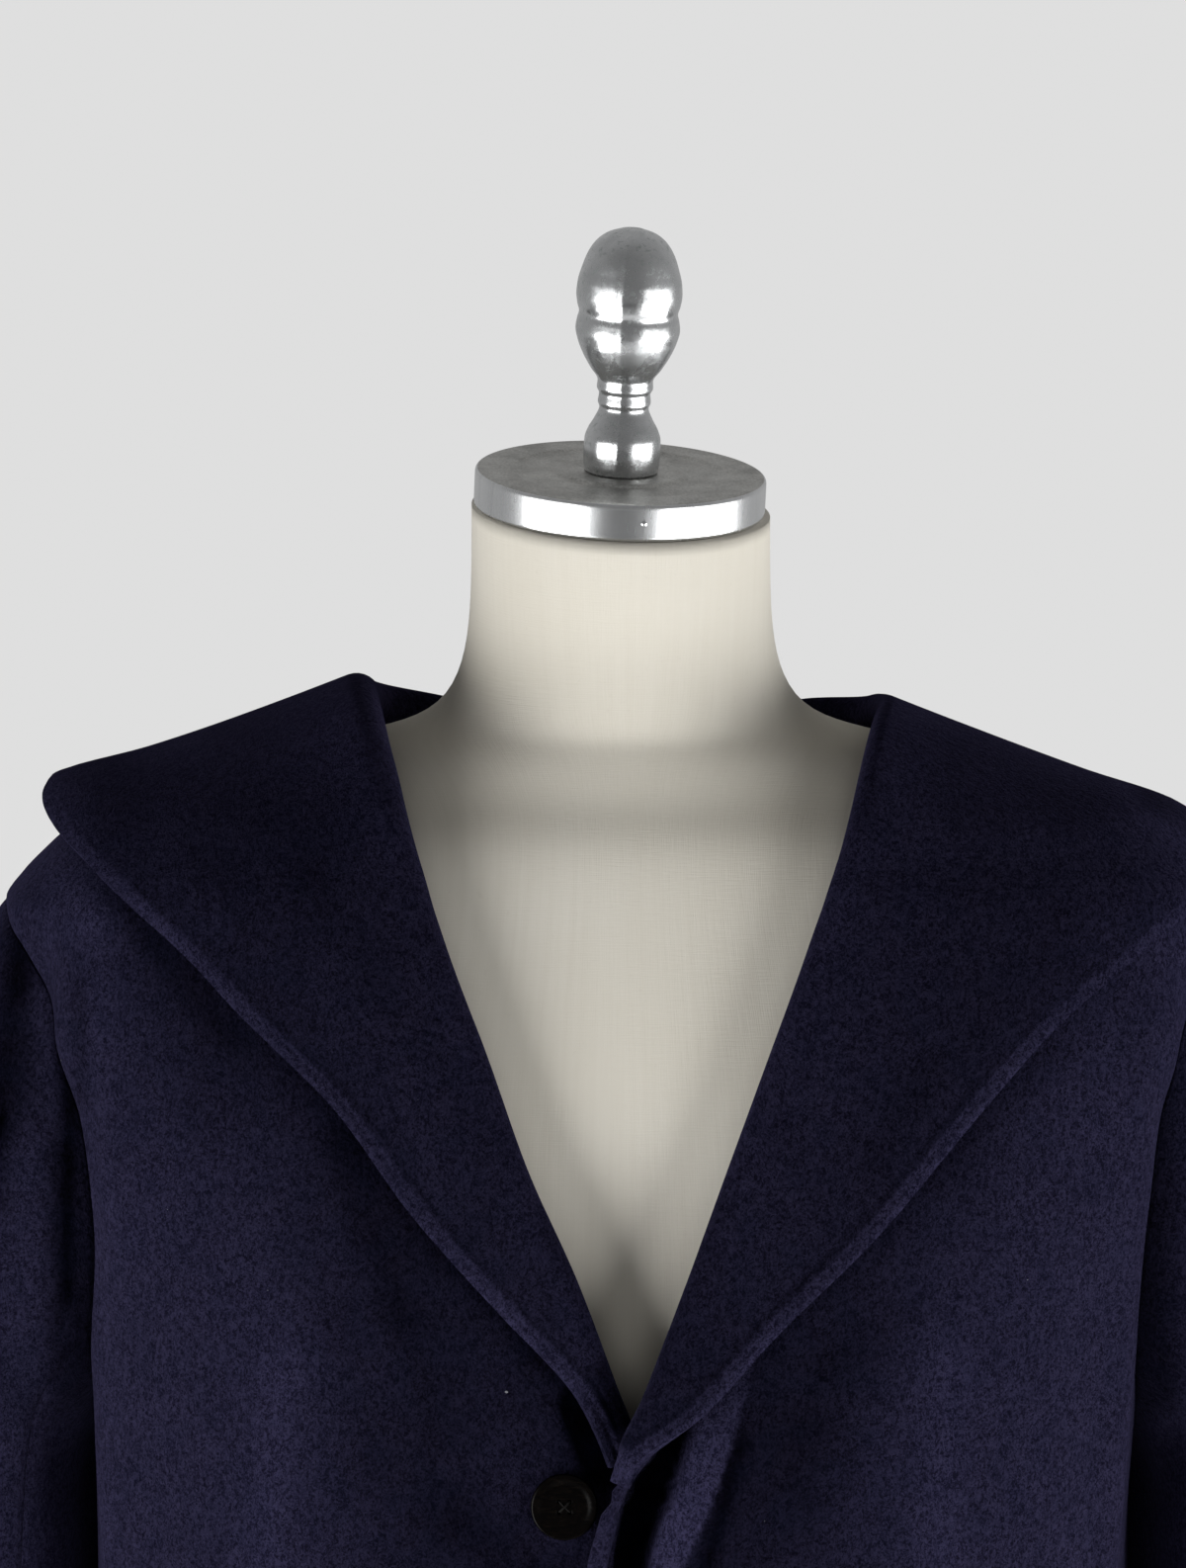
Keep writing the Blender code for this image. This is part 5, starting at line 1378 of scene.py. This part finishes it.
def collar_painted_light(side, station, from_edge, plain, points):
    """Painted light and shade on the collar: dark, with a painted highlight along its edge and a painted
    dark line inside it. plain is how far the edge is pressed flat.
    """
    nap_and_painted_light = 0.10 + 0.25 * ease((station - 0.82) / 0.2) + 0.10 * np.sin(9 * station + side + 40 * from_edge)
    shows = ease((2.2 - station) / 0.5)
    # Painted highlight along the collar's rounded edge, where it catches the light.
    wear_and_edge_highlight = 1.75 + 0.45 * np.sin(11 * station + 1.3 * side)
    nap_and_painted_light = nap_and_painted_light + wear_and_edge_highlight * ease((0.0078 - from_edge) / 0.0034) * shows
    nap_and_painted_light = nap_and_painted_light - 0.70 * bump((from_edge - 0.0086) / 0.0022) * shows * (1 - plain)
    return np.clip(nap_and_painted_light + painted_patches("collar", side, points), PAINTED_DARKEST, PAINTED_LIGHTEST)


def collar_piece(name, side, finish):
    """Half of the shawl collar, from the foot of the lapel to the centre back seam."""
    parts = [collar_section(side, float(s)) for s in collar_stations()]
    middle, across, thick, from_edge = (np.array(a) for a in zip(*parts))
    across = unit(across)
    grain = np.gradient(middle, axis=0), np.gradient(middle, axis=1)
    true = unit(np.cross(*grain))
    true *= np.sign((true * across).sum(-1, keepdims=True))
    blend = np.linspace(0, 1, across.shape[1])[None, :, None] ** 0.3
    across = unit(across * (1 - blend) + true * blend)
    half = across * thick[..., None] / 2
    station = collar_stations()[:, None] + 0 * from_edge
    plain = 0.9 * ease((station - 0.62) / 0.22) * ease((1.30 - station) / 0.12)
    relief = (edge_relief(from_edge) * (1 - plain))[..., None] * across
    outer, inner = middle + half + relief, middle - half
    for face in (outer, inner):
        face[-1, :, 0] = side * SEAM / 2
    # Painted light and shade for the cloth's colour.
    nap_and_painted_light = collar_painted_light(side, station, from_edge, plain, middle)
    return cloth_wall(name, outer, inner, from_edge + 0.02 * plain, nap_and_painted_light, finish, COLLAR_ROUNDING)


def sleeve_ring(side, row, turns):
    """A ring of the sleeve's outer face for one row of the table, at the given turns round the tube."""
    over = np.array([side * row.over_x, row.centre_y, row.over_z])
    under = np.array([side * row.under_x, row.centre_y, row.under_z])
    angles = np.radians(turns)[:, None]
    ring = (over + under) / 2 + np.cos(angles) * (over - under) / 2
    return ring + np.sin(angles) * np.array([0.0, -row.depth, 0.0])


def sleeve_steps():
    """Places of the sleeve's rings down its table, closest together at the cuff."""
    cuff = len(SLEEVE) - 1 - BORDER[::-1] / CUFF_ROW
    return np.concatenate([steps_between(np.array([0.0, 0.3, float(cuff[0])]), SLEEVE_STEP), cuff[1:]])


def sleeve_faces(side):
    """The sleeve's outer and inner face, as rings by turns, and the outer face's normals."""
    turns = np.arange(0, 360, SLEEVE_TURN)
    edge = np.array([armhole_point(side, t) for t in turns])
    loop, loop_normals = on_chart(FOLDED[side], edge[:, 0], edge[:, 1])
    odd = loop - sleeve_ring(side, SLEEVE[0], turns)
    rings = []
    for step in sleeve_steps():
        row = Sleeve(*(float(smooth_curve(range(len(SLEEVE)), values, step)) for values in zip(*SLEEVE)))
        ring = sleeve_ring(side, row, turns) + odd * (1 - ease(step / 3))
        out = unit(ring - ring.mean(0))
        for d in DENTS:
            near = bump((np.mod(turns - d.turn + 180, 360) - 180) / d.turn_width)
            ring = ring + out * (d.height * near * bump((ring[:, 2] - d.z) / d.z_width))[:, None]
        near_body = bump((turns - TUCK_TURN) / TUCK_WIDTH) * ease((TUCK_TOP_Z - ring[:, 2]) / 0.030)
        near_body = near_body * ease((ring[:, 2] - TUCK_LOW_Z) / 0.10)
        ring[:, 0] -= side * TUCK[side] * near_body
        rings.append(ring)
    rings = np.array(rings)
    round_it = np.roll(rings, -1, 1) - np.roll(rings, 1, 1)
    normals = side * unit(np.cross(round_it, np.gradient(rings, axis=0)))
    inner = rings - CLOTH * normals
    inner[0] = loop - CLOTH * unit(loop_normals + normals[0])
    return rings, inner, normals


def sleeve_painted_light(side, turn, points):
    """Painted light and shade on a sleeve: darkest where it faces the body and in the dip by the shoulder.
    """
    x, z = side * points[..., 0], points[..., 2]
    nap_and_painted_light = 0.60 + 0.12 * np.sin(0.05 * turn + 14 * z) + painted_patches("sleeve", side, points)
    below_armhole = ease((1.31 - z) / 0.09)
    shade_x = 0.2480 - 0.0150 * ease((1.140 - z) / 0.030)
    nap_and_painted_light = nap_and_painted_light - 1.15 * ease((shade_x - x) / 0.0110) * below_armhole * (turn < 200)
    nap_and_painted_light = nap_and_painted_light - 0.6 * bump((turn - 205) / 45) * below_armhole
    nap_and_painted_light = nap_and_painted_light - 0.75 * bump((turn - 72) / 42) * bump((z - 1.285) / 0.060)
    return np.clip(nap_and_painted_light, PAINTED_DARKEST, PAINTED_LIGHTEST)


def sleeve_pieces(side, word, finish):
    """The top sleeve and the under sleeve of one side."""
    rings, inner, normals = sleeve_faces(side)
    middle = rings[:, 0]
    down = along(middle)
    from_cuff = (down[-1] - down)[:, None]
    front_seam, back_seam = SLEEVE_SEAMS
    made = []
    for kind, first, last in (("top", back_seam - 360, front_seam), ("under", front_seam, back_seam)):
        turns = np.arange(first, last + 1, SLEEVE_TURN) % 360 // SLEEVE_TURN
        outer_grid, inner_grid, out = (g[:, turns].copy() for g in (rings, inner, normals))
        for grid in (outer_grid, inner_grid):
            for edge, beside in ((0, 1), (-1, -2)):
                step = grid[:, beside] - grid[:, edge]
                grid[:, edge] += step * (SEAM / 2 / np.linalg.norm(step, axis=1, keepdims=True))
        run = np.array([along(p) for p in outer_grid])
        height = edge_relief(from_cuff + 0 * run) + seam_relief(run) + seam_relief(run[:, -1:] - run)
        height = height + seam_relief(down)[:, None]
        outer_grid = outer_grid + height[..., None] * out
        name = f"{kind}_sleeve_cloth_{word}"
        # Painted light and shade for the cloth's colour.
        nap_and_painted_light = sleeve_painted_light(side, turns * SLEEVE_TURN + 0 * run, outer_grid)
        from_edge = from_cuff + 0 * run
        made.append(cloth_wall(name, outer_grid, inner_grid, from_edge, nap_and_painted_light, finish, PANEL_ROUNDING))
    return made


# --- Buttons ----------------------------------------------------------------------------------------------
def button_place(n):
    """Where a button lies on the right front, beside the left front's closing edge."""
    z = BUTTON_TOP_Z - n * BUTTON_SPACING
    foot, normal = on_chart(FOLDED[-1], turn_at_x(-1, z, -BUTTON_X, False), z)
    return Matrix.Translation(Vector(foot)) @ Vector(normal).to_track_quat("Z", "Y").to_matrix().to_4x4()


def eased(points, times):
    """Rows of points with their corners smoothed this many times, and both ends kept."""
    for _ in range(times):
        points[1:-1] = 0.25 * points[:-2] + 0.5 * points[1:-1] + 0.25 * points[2:]
    return points


def rounded_profile(profile, spacing):
    """A turned profile with its corners eased, resampled at the given spacing."""
    points = np.array(profile, float)
    run = along(points)
    at = np.linspace(0, run[-1], math.ceil(run[-1] / spacing))
    dense = np.stack([np.interp(at, run, points[:, k]) for k in (0, 1)], 1)
    return [Turned(*p) for p in eased(dense, 3)]


def thread_tree(finish):
    """The tree that winds strands of thread along each line of stitches, and its inputs' identifiers."""
    tree = bpy.data.node_groups.new("button_thread", "GeometryNodeTree")
    tree.interface.new_socket("Geometry", in_out="INPUT", socket_type="NodeSocketGeometry")
    inputs = {}
    kinds = (("Thickness", "NodeSocketFloat"), ("Strands", "NodeSocketInt"), ("Spread", "NodeSocketVector"))
    for name, kind in kinds:
        inputs[name] = tree.interface.new_socket(name, in_out="INPUT", socket_type=kind).identifier
    tree.interface.new_socket("Geometry", in_out="OUTPUT", socket_type="NodeSocketGeometry")
    given = tree.nodes.new("NodeGroupInput")
    lines = tree.nodes.new("GeometryNodeMeshToCurve")
    strands = tree.nodes.new("GeometryNodeDuplicateElements")
    strands.domain = "SPLINE"
    low = tree.nodes.new("ShaderNodeVectorMath")
    low.operation = "SCALE"
    low.inputs["Scale"].default_value = -1.0
    stray = tree.nodes.new("FunctionNodeRandomValue")
    stray.data_type = "FLOAT_VECTOR"
    stray.inputs["Seed"].default_value = 7
    spread = tree.nodes.new("GeometryNodeSetPosition")
    circle = tree.nodes.new("GeometryNodeCurvePrimitiveCircle")
    circle.inputs["Resolution"].default_value = 8
    tube = tree.nodes.new("GeometryNodeCurveToMesh")
    tube.inputs["Fill Caps"].default_value = True
    realize = tree.nodes.new("GeometryNodeRealizeInstances")
    paint = tree.nodes.new("GeometryNodeSetMaterial")
    paint.inputs["Material"].default_value = finish
    result = tree.nodes.new("NodeGroupOutput")
    links = (
        (given, "Geometry", lines, "Mesh"),
        (lines, "Curve", strands, "Geometry"),
        (given, "Strands", strands, "Amount"),
        (given, "Spread", low, 0),
        (low, 0, stray, "Min"),
        (given, "Spread", stray, "Max"),
        (strands, "Duplicate Index", stray, "ID"),
        (strands, "Geometry", spread, "Geometry"),
        (stray, 0, spread, "Offset"),
        (given, "Thickness", circle, "Radius"),
        (spread, "Geometry", tube, "Curve"),
        (circle, "Curve", tube, "Profile Curve"),
        (tube, "Mesh", realize, "Geometry"),
        (realize, "Geometry", paint, "Geometry"),
        (paint, "Geometry", result, "Geometry"),
    )
    for source, leaving, target, arriving in links:
        tree.links.new(source.outputs[leaving], target.inputs[arriving])
    return tree, inputs


def button_threads(tree, inputs, n):
    """The crossed stitches that hold a button through its four holes."""
    points = []
    for slant in (+1, -1):
        for s in STITCH:
            over = STITCH_OVERLAP if slant > 0 and s.height > BUTTON_FACE else 0
            points.append((s.out * HOLE_PITCH, slant * s.out * HOLE_PITCH, s.height + over))
    edges = [(k, k + 1) for k in range(len(points) - 1) if k != len(STITCH) - 1]
    mesh = bpy.data.meshes.new(f"button_stitches_{n + 1}")
    mesh.from_pydata(points, edges, [])
    stitches = linked(mesh.name, mesh)
    wound = stitches.modifiers.new("thread", "NODES")
    wound.node_group = tree
    wound[inputs["Thickness"]] = 0.00022
    wound[inputs["Strands"]] = 4
    wound[inputs["Spread"]] = (0.00032, 0.00032, 0.00010)
    finished(stitches)
    stitches.data.shade_smooth()
    return place(stitches, button_place(n))


def buttons(finish):
    """Three buttons with a rim, a dished face and four holes."""
    made = []
    for n in range(BUTTONS):
        button = lathe(f"coat_button_{n + 1}", rounded_profile(BUTTON, 0.0004), finish, 72)
        holes = []
        for x, y in ((1, 1), (-1, 1), (-1, -1), (1, -1)):
            hole = [Turned(HOLE_RADIUS, 0.0030), Turned(HOLE_RADIUS, 0.0090)]
            drill = lathe("drill", hole, finish, 16)
            place(drill, Matrix.Translation((x * HOLE_PITCH, y * HOLE_PITCH, 0)))
            cut = button.modifiers.new("hole", "BOOLEAN")
            cut.operation = "DIFFERENCE"
            cut.object = drill
            holes.append(drill)
        finished(button)
        for drill in holes:
            bpy.data.objects.remove(drill, do_unlink=True)
        place(button, button_place(n))
        made.append(button)
    return made


# --- The dress form ---------------------------------------------------------------------------------------
def form_ring(row, angles):
    """A ring of the form's body or shoulders, from the front round."""
    bent = 2 / row.squareness
    x = row.half_width * np.sign(np.sin(angles)) * np.abs(np.sin(angles)) ** bent
    forwards = np.cos(angles)
    y = -np.where(forwards > 0, row.front, row.back) * np.sign(forwards) * np.abs(forwards) ** bent
    return np.stack([x, y, np.full(len(angles), row.z)], 1)


def neck_ring(row, angles):
    """A ring of the form's neck, which tilts forwards and leans to one side."""
    tilt, lean = math.radians(row.tilt), math.radians(row.lean)
    x, y = row.radius * np.sin(angles), -row.radius * np.cos(angles)
    z = row.z + y * math.sin(tilt) - x * math.sin(lean)
    return np.stack([x * math.cos(lean), row.centre_y + y, z], 1)


def dress_form(finish):
    """The form's body, shoulders and neck under one canvas cover."""
    angles = np.linspace(0, 2 * math.pi, FORM_STEPS, endpoint=False)
    under_cloth = CLOTH * math.hypot(1, SHOULDER_SLOPE) + FORM_REST
    sections = list(FORM_BODY)
    for s in FORM_SHOULDER:
        sections.append(Section(float(ridge(s.half_width)) - under_cloth - s.drop, *s[1:]))
    rings = [form_ring(row, angles) for row in sections] + [neck_ring(row, angles) for row in FORM_NECK]
    rings = np.array(rings)
    run = along(rings[:, FORM_STEPS // 8])
    at = steps_between(run, 0.006)
    steps = range(FORM_STEPS)
    fine = np.stack([[smooth_curve(run, rings[:, s, k], at) for s in steps] for k in range(3)], -1)
    fine = eased(fine.transpose(1, 0, 2), FORM_SMOOTHING)
    form = ringed("form_cover", fine, at, finish)
    mean_radius = np.hypot(fine[..., 0], fine[..., 1]).mean(1, keepdims=True)
    around = np.arctan2(fine[..., 0], -fine[..., 1]) * mean_radius
    thread = np.stack([around, np.tile(at[:, None], (1, FORM_STEPS)), 0 * around], -1).reshape(-1, 3)
    thread = np.concatenate([thread, thread[:1], thread[-1:]])
    attribute = form.data.attributes.new("thread", "FLOAT_VECTOR", "POINT")
    attribute.data.foreach_set("vector", thread.astype(np.float32).reshape(-1))
    return form


def cap_frame(height):
    """Where something stands on the tilted cap, height above its top."""
    turned = Matrix.Rotation(CAP_TILT, 4, "X") @ Matrix.Rotation(CAP_LEAN, 4, "Y")
    return Matrix.Translation((0, CAP_Y, CAP_TOP_Z)) @ turned @ Matrix.Translation((0, 0, height))


def neck_cap(finish):
    """The spun metal cap on the neck."""
    profile = rounded_profile(CAP, 0.0005)
    cap = lathe("spun_neck_cap", profile, finish, CAP_STEPS)
    heights = np.repeat([p.height for p in profile], CAP_STEPS)
    radii = np.repeat([p.radius for p in profile], CAP_STEPS)
    band = (radii > CAP_RADIUS - 0.0009) & (heights < CAP_HEIGHT)
    set_value(cap, "band", np.append(band, [0, 0]))
    return place(cap, cap_frame(-CAP_HEIGHT))


def band_nail(finish):
    """The round head of the nail that holds the cap's band, a little to one side of its front."""
    nail = lathe("cap_band_nail", rounded_profile(NAIL, 0.0001), finish, 24)
    outward = Matrix.Rotation(NAIL_TURN, 4, "Z") @ Matrix.Translation((0, -CAP_RADIUS, 0))
    return place(nail, cap_frame(-CAP_HEIGHT / 2) @ outward @ Matrix.Rotation(math.radians(90), 4, "X"))


def knob(finish):
    """The turned knob, with a faint mould seam down its front and back."""
    points = np.array(KNOB, float)
    run = along(points)
    at = np.linspace(0, run[-1], 150)
    radii, heights = (smooth_curve(run, points[:, k], at) for k in (0, 1))
    profile = [Turned(*p) for p in zip(radii, heights)]
    angles = np.linspace(0, 2 * math.pi, KNOB_STEPS, endpoint=False)
    off = np.abs(np.mod(angles + KNOB_SEAM_TURN + math.pi / 2, math.pi) - math.pi / 2)
    seam = 1 + KNOB_SEAM_HEIGHT * bump(off / KNOB_SEAM_WIDTH)
    made = lathe("screw_knob", profile, finish, KNOB_STEPS, np.tile(seam, (len(profile), 1)))
    return place(made, cap_frame(CAP[-1].height - CAP_HEIGHT + SEAM))


def stand(steel, iron):
    """The pole under the form and the round base."""
    pole = [Turned(POLE_RADIUS, BASE_TOP_Z + SEAM), Turned(POLE_RADIUS, FORM_BOTTOM_Z - SEAM)]
    rod = lathe("stand_pole", rounded_profile(pole, 0.01), steel, 64)
    foot = lathe("stand_base", rounded_profile(BASE, 0.002), iron, 128)
    return rod, foot


# --- Floor, light and camera ------------------------------------------------------------------------------
FLOOR_RADIUS = 4.0
FLOOR_STEPS = 96
FLOOR_Z = -0.0005
BACKDROP = 0.737
WORLD_LEVELS = ((0.060, 0.100), (0.40, 0.17))  # behind the form and before it, on dull and on shiny surfaces
CAMERA_PLACE = (-0.0119, -2.7820, 1.7007)
CAMERA_PITCH = math.radians(83.5)
CAMERA_LENS = 149.4
LIGHT_AIM = Vector((0, 0, 1.20))

# Soft lights. azimuth is 0 towards the camera and plus to the camera's right. on_matt says whether a light
# falls on dull surfaces, and on_gloss whether it shows in shiny ones.
Softbox = namedtuple("Softbox", "name azimuth elevation distance width height power on_matt on_gloss")
LIGHTS = (
    Softbox("softbox_left", -54, -19, 1.55, 1.36, 1.2, 34, True, True),
    Softbox("softbox_right", 68, -19, 1.60, 2.00, 1.2, 46, True, True),
    Softbox("softbox_front", 2, -3, 2.20, 1.20, 1.2, 4.6, True, False),
    Softbox("softbox_back", 176, 8, 2.30, 2.40, 1.8, 34, True, False),
    Softbox("card_left", -54, 5, 1.55, 1.36, 0.45, 4.2, False, True),
    Softbox("card_right", 68, 5, 1.60, 2.00, 0.45, 5.6, False, True),
)


def floor():
    """A pale round floor."""
    finish = Finish("pale_floor")
    at = finish.place()
    cloudy = finish.noise(at, 3, 3, 0.5)
    colour = finish.mix(cloudy, (0.66, 0.66, 0.66), (0.72, 0.72, 0.72))
    material = finish.shade(base_color=colour, roughness=0.9, specular_IOR_level=0.2)
    angles = np.linspace(0, 2 * math.pi, FLOOR_STEPS, endpoint=False)
    points = [(FLOOR_RADIUS * math.cos(a), FLOOR_RADIUS * math.sin(a), FLOOR_Z) for a in angles]
    mesh = bpy.data.meshes.new("studio_floor")
    mesh.from_pydata(points, [], [list(range(FLOOR_STEPS))])
    mesh.materials.append(material)
    linked("studio_floor", mesh)


def softbox(row):
    """A soft light, placed round LIGHT_AIM and turned towards it."""
    light = bpy.data.lights.new(row.name, "AREA")
    light.shape = "RECTANGLE"
    light.size, light.size_y = row.width, row.height
    light.energy = row.power
    made = bpy.data.objects.new(row.name, light)
    a, e = math.radians(row.azimuth), math.radians(row.elevation)
    offset = Vector((math.sin(a) * math.cos(e), -math.cos(a) * math.cos(e), math.sin(e))) * row.distance
    made.location = LIGHT_AIM + offset
    made.rotation_euler = offset.to_track_quat("Z", "Y").to_euler()
    made.visible_camera = False
    made.visible_diffuse = row.on_matt
    made.visible_glossy = row.on_gloss
    bpy.context.scene.collection.objects.link(made)


def studio():
    """The soft lights, an even backdrop, and a world whose light differs on dull and on shiny surfaces."""
    scene = bpy.context.scene
    world = bpy.data.worlds.new("studio")
    scene.world = world
    world.use_nodes = True
    tree = world.node_tree
    tree.nodes.clear()
    path = tree.nodes.new("ShaderNodeLightPath")
    where = tree.nodes.new("ShaderNodeTexCoord")
    split = tree.nodes.new("ShaderNodeSeparateXYZ")
    tree.links.new(where.outputs["Generated"], split.inputs[0])
    levels = []
    for behind, ahead in WORLD_LEVELS:
        level = tree.nodes.new("ShaderNodeMapRange")
        level.inputs["From Min"].default_value = 1.0
        level.inputs["From Max"].default_value = -1.0
        level.inputs["To Min"].default_value = behind
        level.inputs["To Max"].default_value = ahead
        tree.links.new(split.outputs["Y"], level.inputs["Value"])
        levels.append(level)
    gloss = tree.nodes.new("ShaderNodeMix")
    tree.links.new(path.outputs["Is Glossy Ray"], gloss.inputs[0])
    tree.links.new(levels[0].outputs[0], gloss.inputs[2])
    tree.links.new(levels[1].outputs[0], gloss.inputs[3])
    seen = tree.nodes.new("ShaderNodeMix")
    seen.inputs[3].default_value = BACKDROP
    tree.links.new(path.outputs["Is Camera Ray"], seen.inputs[0])
    tree.links.new(gloss.outputs[0], seen.inputs[2])
    background = tree.nodes.new("ShaderNodeBackground")
    tree.links.new(seen.outputs[0], background.inputs["Strength"])
    background.inputs["Color"].default_value = (1, 1, 1, 1)
    output = tree.nodes.new("ShaderNodeOutputWorld")
    tree.links.new(background.outputs[0], output.inputs["Surface"])
    for row in LIGHTS:
        softbox(row)
    scene.view_settings.view_transform = "Standard"
    scene.view_settings.look = "None"


def camera():
    """The camera, looking a little down at the shoulders from the front."""
    made = bpy.data.cameras.new("camera")
    made.sensor_width = 36
    made.lens = CAMERA_LENS
    made.clip_end = 60
    holder = bpy.data.objects.new("camera", made)
    holder.location = CAMERA_PLACE
    holder.rotation_euler = (CAMERA_PITCH, 0, 0)
    bpy.context.scene.collection.objects.link(holder)
    bpy.context.scene.camera = holder


def declare_cloth(piece, node):
    """Hangs a cloth piece on the root body and hides the solid that it stands for."""
    register(piece, "coat_wool", node)


def main():
    camera()
    studio()
    floor()
    wool = coat_wool()
    for side, word in ((+1, "left"), (-1, "right")):
        front = body_panel(f"front_cloth_{word}", side, False, wool)
        back = body_panel(f"back_cloth_{word}", side, True, wool)
        collar = collar_piece(f"collar_cloth_{word}", side, wool)
        top, under = sleeve_pieces(side, word, wool)
        declare_cloth(front, f"front_{word}")
        declare_cloth(back, f"back_{word}")
        declare_cloth(collar, f"collar_{word}")
        declare_cloth(top, f"top_sleeve_{word}")
        declare_cloth(under, f"under_sleeve_{word}")
    tree, inputs = thread_tree(dark_thread())
    for n, button in enumerate(buttons(button_horn())):
        register(button, "button_horn", f"button_{n + 1}")
        register(button_threads(tree, inputs, n), "button_horn")
    register(dress_form(form_canvas()), "form_canvas", "form_torso")
    register(neck_cap(spun_aluminium()), "cast_aluminium", "neck_cap")
    register(band_nail(cast_aluminium()), "cast_aluminium")
    register(knob(cast_aluminium()), "cast_aluminium", "knob")
    rod, foot = stand(drawn_steel(), painted_iron())
    register(rod, "pole_steel", "pole")
    register(foot, "base_iron", "base")


main()
